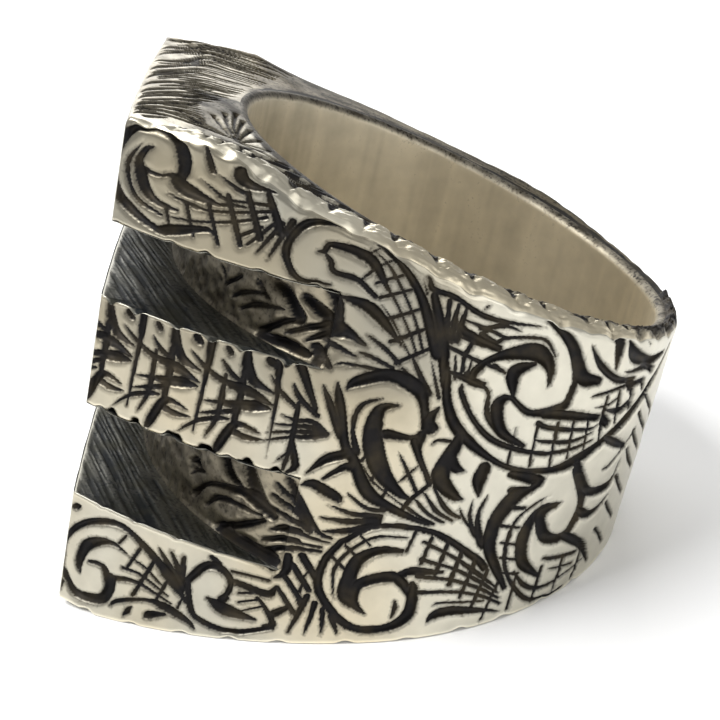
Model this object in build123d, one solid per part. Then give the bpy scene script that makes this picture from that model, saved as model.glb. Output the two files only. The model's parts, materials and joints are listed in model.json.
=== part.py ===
from build123d import *
import os
from math import asin, cos, degrees, radians, sin, sqrt, tan
from typing import NamedTuple

# A one-piece cast letter ring in millimetres.
# The ring is drawn about its bore, with the bore axis upright, the letter face towards -Y
# and the open side of the letter towards +X. Last, it is leaned onto its lower rim.

# Finger bore and shank
bore_diameter = 20.0
back_wall = 0.95
shank_width = 24.7
back_half_height = 5.15
lean_angle = 13.2

# Head
face_reach = 14.7
face_bow = 0.15
cheek_radius = 23.5
head_top = 11.05
head_level_depth = 4.3
head_foot = 10.75
shoulder_reach = 1.5
shoulder_height = 8.2

# Letter
stem_width = 4.6
front_wall = 2.35
notch_floor_radius = 14.0
upper_notch_top = 6.75
upper_notch_base = 3.65
lower_notch_top = -1.2
lower_notch_base = -5.4

# Edges and relief
bore_edge_round = 0.4
relief_depth = 0.22
relief_root = 0.1
rim_border = 0.55
arm_border = 0.3
front_border = 0.4


class Scroll(NamedTuple):
    """One raised scroll: a crescent with a round bulb.

    along and up place it as shares of face_reach and shoulder_height, radius is a share of
    shoulder_height, opening is the direction of its mouth in degrees and hand is the side
    of the mouth that holds the bulb.
    """

    along: float
    up: float
    radius: float
    opening: float
    hand: int


class Leaf(NamedTuple):
    """One raised leaf: a pointed lens, placed and sized by the same shares as a scroll."""

    along: float
    up: float
    length: float
    direction: float


scrolls = [
    Scroll(along=-0.885, up=1.110, radius=0.180, opening=20, hand=1),
    Scroll(along=-0.410, up=0.960, radius=0.190, opening=-70, hand=-1),
    Scroll(along=0.166, up=0.470, radius=0.330, opening=30, hand=1),
    Scroll(along=-0.190, up=0.220, radius=0.195, opening=-40, hand=1),
    Scroll(along=0.350, up=-0.270, radius=0.240, opening=-50, hand=1),
    Scroll(along=-0.110, up=-0.620, radius=0.235, opening=30, hand=-1),
    Scroll(along=-0.885, up=-0.980, radius=0.190, opening=-40, hand=-1),
    Scroll(along=-0.525, up=-0.930, radius=0.160, opening=60, hand=1),
]

leaves = [
    Leaf(along=-0.690, up=1.180, length=0.300, direction=-25),
    Leaf(along=-0.660, up=0.980, length=0.240, direction=-20),
    Leaf(along=-0.200, up=0.740, length=0.400, direction=-55),
    Leaf(along=-0.300, up=0.530, length=0.280, direction=-30),
    Leaf(along=0.540, up=0.520, length=0.300, direction=-20),
    Leaf(along=0.090, up=-0.060, length=0.380, direction=-50),
    Leaf(along=-0.060, up=-0.090, length=0.340, direction=-60),
    Leaf(along=-0.260, up=-0.170, length=0.340, direction=-25),
    Leaf(along=-0.320, up=-0.420, length=0.320, direction=-10),
    Leaf(along=0.130, up=-0.560, length=0.340, direction=-30),
    Leaf(along=0.500, up=0.070, length=0.300, direction=10),
    Leaf(along=-0.330, up=-0.790, length=0.200, direction=-20),
    Leaf(along=-0.700, up=-0.960, length=0.240, direction=-30),
    Leaf(along=-0.860, up=0.150, length=0.300, direction=0),
    Leaf(along=-0.640, up=0.150, length=0.300, direction=0),
    Leaf(along=-0.430, up=0.150, length=0.260, direction=0),
]

hollow_share = 0.74
mouth_share = 1.4
bulb_share = 0.36
bulb_seat = 0.5
bulb_turn = 62
leaf_slenderness = 2.6

bore_radius = bore_diameter / 2
shank_radius = shank_width / 2
shank_center = bore_radius + back_wall - shank_radius
cheek_center = shank_radius - cheek_radius
rim_slope = tan(radians(lean_angle))
back_reach = bore_radius + back_wall
base_half_height = back_half_height + rim_slope * back_reach
notch_floor_center = notch_floor_radius - (bore_radius + front_wall)
spill = 1.0


def cheek_x(y: float, inset: float) -> float:
    """Half width of the head at a depth y, on an outline moved inward by inset."""
    return cheek_center + sqrt((cheek_radius - inset) ** 2 - (y - shank_center) ** 2)


def outline(inset: float) -> Face:
    """Plan of the ring without its bore. The letter face stays put when the sides move inward."""
    front = -face_reach
    corner_y = front + face_bow
    corner_x = cheek_x(corner_y, inset)
    sweep = degrees(asin((corner_y - shank_center) / (cheek_radius - inset)))
    edges = [
        CenterArc((0, shank_center), shank_radius - inset, 0, 180),
        CenterArc((cheek_center, shank_center), cheek_radius - inset, 0, sweep),
        CenterArc((-cheek_center, shank_center), cheek_radius - inset, 180, -sweep),
        ThreePointArc((-corner_x, corner_y), (0, front), (corner_x, corner_y)),
    ]
    return make_face(edges)


def block(low: Vector, high: Vector) -> Face:
    """A rectangle in side view from its low corner to its high corner."""
    size = high - low
    return Pos(low.X + size.X / 2, low.Y + size.Y / 2) * Rectangle(size.X, size.Y)


def rim_profile() -> Face:
    """Side view of the ring: level head top and foot, two slopes to the back and a flat lower rim."""
    front = -(face_reach + spill)
    back = back_reach + spill
    head_back = -(face_reach - head_level_depth)
    shoulder = -shoulder_reach
    back_slope = (shoulder_height - back_half_height) / (back_reach + shoulder_reach)
    head_slope = (head_top - shoulder_height) / (shoulder - head_back)
    points = [
        (front, shoulder_height + head_slope * (shoulder - front)),
        (shoulder, shoulder_height),
        (back, back_half_height - back_slope * spill),
        (back, -(base_half_height - rim_slope * back)),
        (front, -(base_half_height - rim_slope * front)),
    ]
    slopes = make_face(Polyline(*points, close=True))
    return (slopes & block(Vector(front, -head_foot), Vector(back, head_top))).face()


def scroll_shape(scroll: Scroll) -> Sketch:
    """A crescent that is open at its mouth, with a round bulb grown from its inner side."""
    radius = scroll.radius * shoulder_height
    inner = hollow_share * radius
    bulb = bulb_share * radius
    shift = mouth_share * (radius - inner)
    mouth = radians(scroll.opening)
    turn = radians(scroll.opening + scroll.hand * bulb_turn)
    middle = Pos(scroll.along * face_reach, scroll.up * shoulder_height)
    hollow_x = shift * cos(mouth)
    hollow_y = shift * sin(mouth)
    seat = inner - bulb_seat * bulb
    bulb_x = hollow_x + seat * cos(turn)
    bulb_y = hollow_y + seat * sin(turn)
    crescent = Circle(radius) - Pos(hollow_x, hollow_y) * Circle(inner)
    return middle * (crescent + Pos(bulb_x, bulb_y) * Circle(bulb))


def leaf_shape(leaf: Leaf) -> Sketch:
    """A lens between two equal arcs."""
    length = leaf.length * shoulder_height
    bow = length / leaf_slenderness / 2
    half = length / 2
    upper = ThreePointArc((-half, 0), (0, bow), (half, 0))
    lower = ThreePointArc((half, 0), (0, -bow), (-half, 0))
    place = Pos(leaf.along * face_reach, leaf.up * shoulder_height)
    return place * Rot(0, 0, leaf.direction) * make_face([upper, lower])


def across(shape) -> Part:
    """Runs a side-view shape across the whole width of the ring."""
    return extrude(Plane.YZ * shape, amount=shank_width, both=True)


def notch(top: float, base: float) -> Part:
    """The gap between two arms, cut from the open side to the stem, outside the curved floor."""
    height = top - base
    stem_face = -cheek_x(-face_reach + face_bow, 0) + stem_width
    width = shank_width
    depth = face_reach + spill
    space = Pos(stem_face + width / 2, -depth / 2, base + height / 2) * Box(width, depth, height)
    floor = Pos(0, notch_floor_center, base + height / 2) * Cylinder(notch_floor_radius, height + spill)
    return space - floor


def border_shape(profile: Face) -> Sketch:
    """Raised border that follows both rims and the front corner of the cheeks."""
    front = -(face_reach - face_bow)
    corner = block(Vector(front, -head_foot), Vector(front + front_border, head_top))
    return profile - offset(profile, -rim_border, kind=Kind.INTERSECTION) + corner


def arm_edge_shape() -> Sketch:
    """Raised border along the arm edges that face a notch."""
    front = -face_reach
    back = -shoulder_reach - arm_border
    edges = Sketch()
    for height in (upper_notch_top, lower_notch_top):
        edges += block(Vector(front, height), Vector(back, height + arm_border))
    for height in (upper_notch_base, lower_notch_base):
        edges += block(Vector(front, height - arm_border), Vector(back, height))
    return edges


def relief(profile: Face) -> Part:
    """Everything that stands proud of the cheeks, as a skin that sinks a little into them."""
    ornament = border_shape(profile)
    for scroll in scrolls:
        ornament += scroll_shape(scroll)
    for leaf in leaves:
        ornament += leaf_shape(leaf)
    cheek_front = -(face_reach - face_bow)
    cheek_window = block(Vector(cheek_front, -head_foot), Vector(back_reach + spill, head_top))
    ornament &= profile & cheek_window
    near_edges = extrude(Plane.YZ * arm_edge_shape(), amount=shank_width)
    reach = head_top + spill
    core = extrude(outline(relief_depth + relief_root), amount=reach, both=True)
    skin = extrude(outline(0), amount=reach, both=True) - core
    return skin & (across(ornament) + near_edges)


def letter_ring() -> Part:
    """The whole ring, upright about its bore."""
    profile = rim_profile()
    reach = head_top + spill
    ground = extrude(outline(relief_depth), amount=reach, both=True) & across(profile)
    ground -= Cylinder(bore_radius, 2 * reach)
    walls = ground.faces().filter_by(GeomType.CYLINDER)
    bore_wall = [wall for wall in walls if abs(wall.radius - bore_radius) < 0.001][0]
    bore_edges = bore_wall.edges().filter_by(GeomType.LINE, reverse=True)
    ground = fillet(bore_edges, bore_edge_round)
    notches = notch(upper_notch_top, upper_notch_base) + notch(lower_notch_top, lower_notch_base)
    return ground + relief(profile) - notches


ring = Rot(-lean_angle, 0, 0) * letter_ring()
extent = ring.bounding_box()
ring = Pos(-extent.center().X, -extent.center().Y, -extent.min.Z) * ring
ring.label = "letter_ring"

os.makedirs("parts", exist_ok=True)
export_step(ring, "parts/letter_ring.step")
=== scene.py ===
"""Cast silver letter ring with a carved scroll cheek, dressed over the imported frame.

Sizes are millimetres in the ring's own axes: the finger bore stands upright through the
origin, the letter face looks towards -Y and the open side of the letter towards +X.
`Seat` leans the result onto its lower rim and turns it into metres.

The engraving is drawn on the near wall laid flat: arc length along it, height, and the width
of the cut. Each surface is a `Sheet` on two parameters, whose points sink where a cut runs.
"""
import json
import logging
from dataclasses import dataclass
from enum import Enum
from math import asin, cos, radians, sin, sqrt, tan
from typing import NamedTuple

import bpy
import numpy as np
from mathutils import Matrix, Vector


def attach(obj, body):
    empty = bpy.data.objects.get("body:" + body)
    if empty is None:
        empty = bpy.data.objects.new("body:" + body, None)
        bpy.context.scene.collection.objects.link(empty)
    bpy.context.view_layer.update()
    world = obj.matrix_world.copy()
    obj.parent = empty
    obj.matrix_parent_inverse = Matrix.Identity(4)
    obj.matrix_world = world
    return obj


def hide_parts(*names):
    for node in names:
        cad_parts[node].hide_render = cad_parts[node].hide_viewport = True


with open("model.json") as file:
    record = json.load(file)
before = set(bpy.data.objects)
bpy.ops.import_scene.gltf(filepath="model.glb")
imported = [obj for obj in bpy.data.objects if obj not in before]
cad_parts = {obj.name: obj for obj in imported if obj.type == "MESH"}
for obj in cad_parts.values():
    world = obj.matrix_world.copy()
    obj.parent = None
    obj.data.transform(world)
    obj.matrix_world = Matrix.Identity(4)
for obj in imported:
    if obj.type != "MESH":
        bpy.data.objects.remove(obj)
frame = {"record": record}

Array = np.ndarray

logging.basicConfig(level=logging.INFO, format="%(message)s")
log = logging.getLogger("ring")

METRES = 0.001
SEED = 7


class Noise(Enum):
    """Fields of smooth noise, each drawn from its own seed."""

    WALL = 0
    FLOOR = 1
    LEDGE_STREAKS = 2
    LEDGE_GROOVES = 3
    BORE_BROAD = 4
    BORE_FINE = 5
    RIM_CLOUDS = 6
    NUGGET_SHIFT = 8
    NUGGET_CRUMBS = 9
    WARMTH = 10
    RIM_STREAKS = 11
    FACE = 12


@dataclass(frozen=True)
class Hump:
    """Soft rise or sag of the upper rim, in millimetres."""

    height: float
    middle: float
    width: float

    def at(self, y: Array) -> Array:
        """Rise at each depth: a bell round the middle."""
        return self.height * np.exp(-(((y - self.middle) / self.width) ** 2))


NEAR_HUMPS = (Hump(-0.3, -7.6, 2.4),)
FAR_HUMPS = (Hump(0.28, 6.0, 3.0), Hump(-0.42, -8.0, 4.0))


@dataclass(frozen=True)
class RingSizes:
    """Sizes of the ring in millimetres and degrees.

    Those down to floor_radius are the solid's own. The rest shape what only the dressed ring
    has: the plane of the upper bore edge, rounded edges, and the fading of cuts and bites.
    """

    bore_radius: float = 10.0
    bore_round: float = 0.4
    back_wall: float = 0.95
    shank_radius: float = 12.35
    cheek_radius: float = 23.5
    face_reach: float = 14.7
    face_bow: float = 0.15
    head_top: float = 11.05
    head_level_depth: float = 4.3
    head_foot: float = 10.75
    shoulder_reach: float = 1.5
    shoulder_height: float = 8.2
    back_half_height: float = 5.15
    lean_angle: float = 13.2
    stem_width: float = 4.6
    front_wall: float = 2.35
    floor_radius: float = 14.0
    collar_height: float = 7.75
    collar_slope: float = 0.252
    edge_round: float = 0.13
    shoulder_round: float = 0.5
    crease_sink: float = 0.22
    crease_reach: float = 1.5
    crease_bare: float = 0.5
    crease_fade: float = 0.7
    hump_fade: float = 3.0
    end_fade: float = 0.6
    arm_fade: float = 0.5

    @property
    def back_reach(self) -> float:
        """Distance from the bore's axis to the middle of the back."""
        return self.bore_radius + self.back_wall

    @property
    def shank_center(self) -> float:
        """Depth of the shank arc's centre."""
        return self.back_reach - self.shank_radius

    @property
    def base_slope(self) -> float:
        """Rise of the lower rim for each millimetre towards the back."""
        return tan(radians(self.lean_angle))

    @property
    def base_height(self) -> float:
        """Depth of the lower rim's plane under the bore's middle."""
        return self.back_half_height + self.base_slope * self.back_reach

    @property
    def stem_face(self) -> float:
        """Width at which the stem ends and the notches begin."""
        return self.stem_width - self.corner_x

    @property
    def floor_center(self) -> float:
        """Depth of the centre of the notch floor's circle."""
        return self.floor_radius - (self.bore_radius + self.front_wall)

    @property
    def cheek_center(self) -> float:
        """Distance of the cheek arc's centre from the ring's middle plane."""
        return self.shank_radius - self.cheek_radius

    @property
    def corner_y(self) -> float:
        """Depth of the front corner, where the cheek meets the letter face."""
        return -self.face_reach + self.face_bow

    @property
    def corner_s(self) -> float:
        """Arc length along the cheek from its widest point to the front corner."""
        return self.cheek_radius * asin((self.corner_y - self.shank_center) / self.cheek_radius)

    @property
    def corner_x(self) -> float:
        """Half width of the letter face."""
        return self.cheek_center + self.cheek_radius * cos(self.corner_s / self.cheek_radius)

    @property
    def back_s(self) -> float:
        """Arc length along the shank from its widest point to the middle of the back."""
        return self.shank_radius * radians(90)

    @property
    def floor_s(self) -> float:
        """Where the notch floor runs out through the near cheek, found on a row of close points.

        Returns:
            Its arc length.
        """
        lengths = np.linspace(self.corner_s, 0, 4001)
        x, y = self.plan(lengths)
        inside = np.hypot(x, y - self.floor_center) < self.floor_radius
        return float(lengths[np.argmax(inside)])

    def plan(self, s: Array) -> tuple[Array, Array]:
        """Plan of the near wall: a flat cheek arc for negative s, the round shank after it.

        Args:
            s: arc lengths from the widest point, negative towards the letter face.

        Returns:
            x and y of each point.
        """
        cheek, shank = s / self.cheek_radius, s / self.shank_radius
        cheek_x = self.cheek_center + self.cheek_radius * np.cos(cheek)
        x = np.where(s < 0, cheek_x, self.shank_radius * np.cos(shank))
        y = np.where(s < 0, self.cheek_radius * np.sin(cheek), self.shank_radius * np.sin(shank))
        return x, self.shank_center + y

    def plan_normal(self, s: Array) -> tuple[Array, Array]:
        """Outward direction of the near wall: the radius of whichever arc carries the point."""
        angle = np.where(s < 0, s / self.cheek_radius, s / self.shank_radius)
        return np.cos(angle), np.sin(angle)

    def top(self, y: Array, side: Array | int = 1) -> Array:
        """Height of the upper rim: level over the head, two straight slopes to the back, and humps.

        Args:
            y: depth of each point.
            side: sign of x; both sides sag beside the head, and the far one rises near the back.

        Returns:
            Height of each point.
        """
        knots = [-self.face_reach + self.head_level_depth, -self.shoulder_reach, self.back_reach]
        height = np.interp(y, knots, [self.head_top, self.shoulder_height, self.back_half_height])
        near, far = (sum(hump.at(y) for hump in humps) for humps in (NEAR_HUMPS, FAR_HUMPS))
        ends = smoothstep((self.back_reach - y) / self.hump_fade)
        ends = ends * smoothstep((y + self.face_reach) / self.hump_fade)
        return height + np.where(np.asarray(side) < 0, far, near) * ends

    def foot(self, y: Array) -> Array:
        """Height of the lower rim: one slope, cut level under the head."""
        return np.maximum(-self.head_foot, self.bore_foot(y))

    def collar(self, y: Array) -> Array:
        """Height of the upper bore edge, a plane that falls to the back."""
        return self.collar_height - self.collar_slope * y

    def bore_foot(self, y: Array) -> Array:
        """Height of the lower bore edge, on the slope of the lower rim."""
        return -(self.base_height - self.base_slope * y)

    def wall_ends(self, s: Array) -> Array:
        """Nothing at the front corner and at the middle of the back, one between them."""
        front, back = Blend(self.corner_s, self.end_fade), Blend(self.back_s, -self.end_fade)
        return front.at(s) * back.at(s)

    def arm_ends(self, s: Array) -> Array:
        """One along the arms and nothing where a notch floor runs out through the cheek."""
        return Blend(self.floor_s, -self.arm_fade).at(s)

    def shoulder(self, s: Array, side: int) -> Array:
        """Rounding of the upper rim: fuller on the far side of the head, sharper at the back.

        Args:
            s: arc length of each point.
            side: sign of x.

        Returns:
            Radius of the rounding at each point.
        """
        places = [self.corner_s, -8.0, 0.0, self.back_s]
        far_share = [1.0, 1.7, 1.2, 0.4]
        near_share = [1.0, 1.0, 1.0, 0.4]
        return self.shoulder_round * np.interp(s, places, near_share if side > 0 else far_share)

    def crease(self, distance: Array, up: Array, reach: float) -> Array:
        """Nearness to the crease where a notch floor runs out through the near wall.

        Args:
            distance: how far each point is from the crease.
            up: height of each point.
            reach: distance at which the nearness ends.

        Returns:
            The square of the remaining share of the reach, and nothing at the arms' edges.
        """
        window = np.zeros_like(up)
        for base, top in (NOTCH_HEIGHTS[:2], NOTCH_HEIGHTS[2:]):
            inside = np.minimum(up - base, top - up)
            window = np.maximum(window, smoothstep(inside / self.crease_fade))
        return window * np.clip(1 - distance / reach, 0, 1) ** 2


class Band(Enum):
    """Bands of the wall between its height marks, from the lower rim up."""

    LOWER_ARM = 0
    LOWER_NOTCH = 1
    MIDDLE_ARM = 2
    UPPER_NOTCH = 3
    UPPER_ARM = 4


NOTCHES = (Band.LOWER_NOTCH, Band.UPPER_NOTCH)
NOTCH_HEIGHTS = (-5.4, -1.2, 3.65, 6.75)


@dataclass(frozen=True)
class Seat:
    """Carries points from the ring's own axes into the frame, by its finger bore."""

    origin: tuple[float, float, float]
    axis: tuple[float, float, float]

    @classmethod
    def from_record(cls, record: dict) -> "Seat":
        """Reads the bore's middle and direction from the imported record."""
        bore = next(mount for mount in record["mounts"] if mount["name"] == "finger_bore")
        return cls(tuple(bore["pos_m"]), tuple(bore["axis"]))

    def place(self, points: Array) -> Array:
        """Leans the points with the bore and adds the bore's middle.

        Args:
            points: rows of x, y, z in ring millimetres.

        Returns:
            Rows of x, y, z in frame metres.
        """
        lean_sin, lean_cos = self.axis[1], self.axis[2]
        x, y, z = points[:, 0], points[:, 1], points[:, 2]
        leaned = np.stack([x, y * lean_cos + z * lean_sin, z * lean_cos - y * lean_sin], axis=1)
        return leaned * METRES + np.array(self.origin)


@dataclass
class Sheet:
    """One surface on a two-parameter grid, with its darkness of grooves, tarnish and painted shade, its
    tone of painted light and shade, and its warmth.
    """

    points: Array
    oxide_and_shade: Array
    tone: Array
    warm: Array | float = 0.0
    skip: Array | None = None
    flip: bool = False
    closed: bool = False

    def faces(self) -> Array:
        """Quads between neighbouring rows and columns, less the skipped cells.

        Returns:
            Rows of four corner numbers.
        """
        rows, columns = self.points.shape[:2]
        index = np.arange(rows * columns).reshape(rows, columns)
        if self.closed:
            index = np.concatenate([index, index[:, :1]], axis=1)
        quads = np.stack([index[:-1, :-1], index[:-1, 1:], index[1:, 1:], index[1:, :-1]], axis=-1)
        if self.skip is not None:
            quads = quads[~self.skip]
        quads = quads.reshape(-1, 4)
        return quads[:, ::-1] if self.flip else quads


def smoothstep(value: Array) -> Array:
    """Three times the square less twice the cube, held between 0 and 1."""
    held = np.clip(value, 0, 1)
    return held * held * (3 - 2 * held)


@dataclass(frozen=True)
class Blend:
    """Region along one coordinate: nothing at its start, one a span further on."""

    start: float
    span: float

    def at(self, value: Array) -> Array:
        """Share of the region at each value; a negative span faces the other way."""
        return smoothstep((value - self.start) / self.span)


def edge_roll(distance: Array, radius: float) -> tuple[Array, Array]:
    """Rounds a surface over towards its edge, over one eighth of a turn.

    Args:
        distance: how far each point is from the edge.
        radius: radius of the rounding.

    Returns:
        How far each point moves away from the edge and how far it sinks.
    """
    turn = (1 - np.clip(distance / radius, 0, 1)) * radians(45)
    inward = np.where(distance < radius, radius * (1 - np.sin(turn)) - distance, 0.0)
    return inward, radius * (1 - np.cos(turn))


def value_noise(x: Array, y: Array, cell: float, layer: Noise) -> Array:
    """Smooth noise: random heights on a lattice of square cells, blended between its corners.

    Args:
        x: first coordinate of each point.
        y: second coordinate of each point.
        cell: width of a cell.
        layer: which noise field.

    Returns:
        Values between 0 and 1.
    """
    lattice = 97
    heights = np.random.default_rng(SEED + layer.value).random((lattice, lattice))
    u, v = x / cell, y / cell
    column, row = np.floor(u).astype(int), np.floor(v).astype(int)
    across, up = smoothstep(u - column), smoothstep(v - row)

    def corner(dx: int, dy: int) -> Array:
        """Lattice height at one corner of each point's cell."""
        return heights[(row + dy) % lattice, (column + dx) % lattice]

    low = corner(0, 0) * (1 - across) + corner(1, 0) * across
    high = corner(0, 1) * (1 - across) + corner(1, 1) * across
    return low * (1 - up) + high * up


@dataclass(frozen=True)
class Bites:
    """File bites along an edge, one to each pitch, with shuffled places and depths."""

    pitch: float
    depth: float
    width: float
    seed: int

    def at(self, run: Array) -> Array:
        """Smooth dips along the edge, one round the middle of each pitch.

        Args:
            run: places along the edge.

        Returns:
            Depth of the bite at each place.
        """
        draw = np.random.default_rng(self.seed)
        count = 64
        shift, share = draw.uniform(-0.22, 0.22, count), draw.uniform(0.45, 1.0, count)
        cell = np.floor(run / self.pitch).astype(int)
        middle = (cell + 0.5 + shift[cell % count]) * self.pitch
        inside = smoothstep(1 - np.abs(run - middle) / (self.width / 2))
        return self.depth * share[cell % count] * inside

    @staticmethod
    def shade(dip: Array) -> Array:
        """Darkness of a bite by its depth."""
        return 0.9 * smoothstep(dip / 0.16 - 0.4)


RIM_BITES = Bites(pitch=1.75, depth=0.15, width=1.1, seed=3)
FOOT_BITES = Bites(pitch=2.3, depth=0.16, width=1.0, seed=5)
ARM_BITES = (
    Bites(pitch=1.9, depth=0.10, width=0.6, seed=11),
    Bites(pitch=1.55, depth=0.24, width=0.75, seed=12),
    Bites(pitch=1.6, depth=0.26, width=0.8, seed=13),
    Bites(pitch=2.1, depth=0.16, width=0.8, seed=14),
)


# ORNAMENT


@dataclass(frozen=True)
class Graver:
    """Cuts tapered round-bottomed grooves into a pattern plane.

    depth is the deepest groove, least_depth and slope tie depth to width, round_share is the
    round bottom's share of it, lip and lip_width shape the soft lip, soft_edge shapes the
    tarnish of its floor and halo the dark beside it, part tarnish and part painted shade. A cut
    thinner than hairline leaves a fainter dark.
    """

    depth: float = 0.34
    least_depth: float = 0.05
    slope: float = 0.62
    round_share: float = 0.84
    lip: float = 0.13
    lip_width: float = 0.26
    halo: float = 0.46
    soft_edge: float = 0.09
    hairline: float = 0.1

    @staticmethod
    def path(touches: Array, step: float = 0.09) -> Array:
        """Smooth run through the touches: a cubic through each pair, bent by its neighbours.

        Args:
            touches: rows of along, up and width.
            step: spacing of the run's points.

        Returns:
            Rows of along, up and width along the run.
        """
        if len(touches) == 2:
            share = np.linspace(0, 1, 7)[:, None]
            return touches[0] * (1 - share) + touches[1] * share
        ends = np.vstack([2 * touches[0] - touches[1], touches, 2 * touches[-1] - touches[-2]])
        runs = []
        for a, b, c, d in zip(ends, ends[1:], ends[2:], ends[3:]):
            count = max(2, int(np.hypot(*(c - b)[:2]) / step))
            t = np.linspace(0, 1, count, endpoint=False)[:, None]
            square, cube = 2 * a - 5 * b + 4 * c - d, 3 * (b - c) + d - a
            runs.append(b + t * (c - a) / 2 + t**2 * square / 2 + t**3 * cube / 2)
        return np.vstack(runs + [touches[-1:]])

    def carve(self, along: Array, up: Array, cuts: list[Array]) -> tuple[Array, Array]:
        """Depth and darkness that the cuts leave at every point of a surface.

        A groove's depth grows with its width up to a limit, its section is a half ellipse with
        a soft lip, and its floor is dark, with a halo beside it that is part oxide, part painted shade.

        Args:
            along: pattern coordinate of each point along the wall.
            up: pattern coordinate of each point up the wall.
            cuts: each cut's rows of along, up and width.

        Returns:
            Depth and darkness, shaped as along.
        """
        shape = along.shape
        order = np.argsort(along.ravel())
        x, y = along.ravel()[order], up.ravel()[order]
        depth, dark = np.zeros(x.size), np.zeros(x.size)
        for touches in cuts:
            run = self.path(touches)
            reach = run[:, 2].max() / 2 + self.lip_width
            first, last = np.searchsorted(x, [run[:, 0].min() - reach, run[:, 0].max() + reach])
            near = np.arange(first, last)
            near = near[(y[near] > run[:, 1].min() - reach) & (y[near] < run[:, 1].max() + reach)]
            if near.size:
                sunk, stained_and_shaded = self.groove(x[near], y[near], run)
                depth[near] = np.maximum(depth[near], sunk)
                dark[near] = np.maximum(dark[near], stained_and_shaded)
        back = np.empty_like(order)
        back[order] = np.arange(order.size)
        return depth[back].reshape(shape), dark[back].reshape(shape)

    def groove(self, x: Array, y: Array, run: Array) -> tuple[Array, Array]:
        """Cuts one groove, by the distance of each point to the nearest place on its run.

        Args:
            x: coordinate of each point along the wall.
            y: coordinate of each point up the wall.
            run: rows of along, up and width along the groove.

        Returns:
            Depth and darkness of each point.
        """
        sunk, stained_and_shaded = np.zeros(x.size), np.zeros(x.size)
        for start, end in zip(run[:-1], run[1:]):
            reach = max(start[2], end[2]) / 2 + self.lip_width
            low, high = np.minimum(start, end)[:2] - reach, np.maximum(start, end)[:2] + reach
            near = np.nonzero((x > low[0]) & (x < high[0]) & (y > low[1]) & (y < high[1]))[0]
            if not near.size:
                continue
            step = end - start
            length = step[0] ** 2 + step[1] ** 2 + 1e-9
            share = ((x[near] - start[0]) * step[0] + (y[near] - start[1]) * step[1]) / length
            share = np.clip(share, 0, 1)
            aside, above = share * step[0], share * step[1]
            gap = np.hypot(x[near] - start[0] - aside, y[near] - start[1] - above)
            half = (start[2] + step[2] * share) / 2
            bottom = np.minimum(self.depth, self.least_depth + self.slope * half * 2)
            inside = np.clip(1 - (gap / np.maximum(half, 0.01)) ** 2, 0, 1)
            beside = smoothstep(1 - (gap - half) / self.lip_width)
            share_deep = self.round_share * np.sqrt(inside) + self.lip * beside
            sunk[near] = np.maximum(sunk[near], bottom * share_deep)
            edge = smoothstep((half + self.soft_edge / 2 - gap) / self.soft_edge)
            faint = smoothstep(half / (self.hairline / 2))
            # Dark floor of the groove, and beside it a halo that is part oxide and part painted shade.
            stain_and_shade = np.maximum(edge, self.halo * beside) * faint
            stained_and_shaded[near] = np.maximum(stained_and_shaded[near], stain_and_shade)
        return sunk, stained_and_shaded


def touches(text: str) -> Array:
    """Reads one cut: along, up and width in millimetres for each touch, commas between them."""
    return np.array([[float(word) for word in touch.split()] for touch in text.split(",")])


def strokes(line: str) -> list[Array]:
    """Reads one line of the ornament: a single cut, or some cuts blended between leading ones.

    Args:
        line: "touches", or "count of touches to touches", with as many touches in each lead.

    Returns:
        Each cut's rows of along, up and width.
    """
    if " of " not in line:
        return [touches(line)]
    count, leads = line.split(" of ")
    rows = np.array([touches(lead) for lead in leads.split(" to ")])
    cuts = []
    for place in np.linspace(0, len(rows) - 1, int(count)):
        lead = min(int(place), len(rows) - 2)
        cuts.append(rows[lead] * (lead + 1 - place) + rows[lead + 1] * (place - lead))
    return cuts


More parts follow.
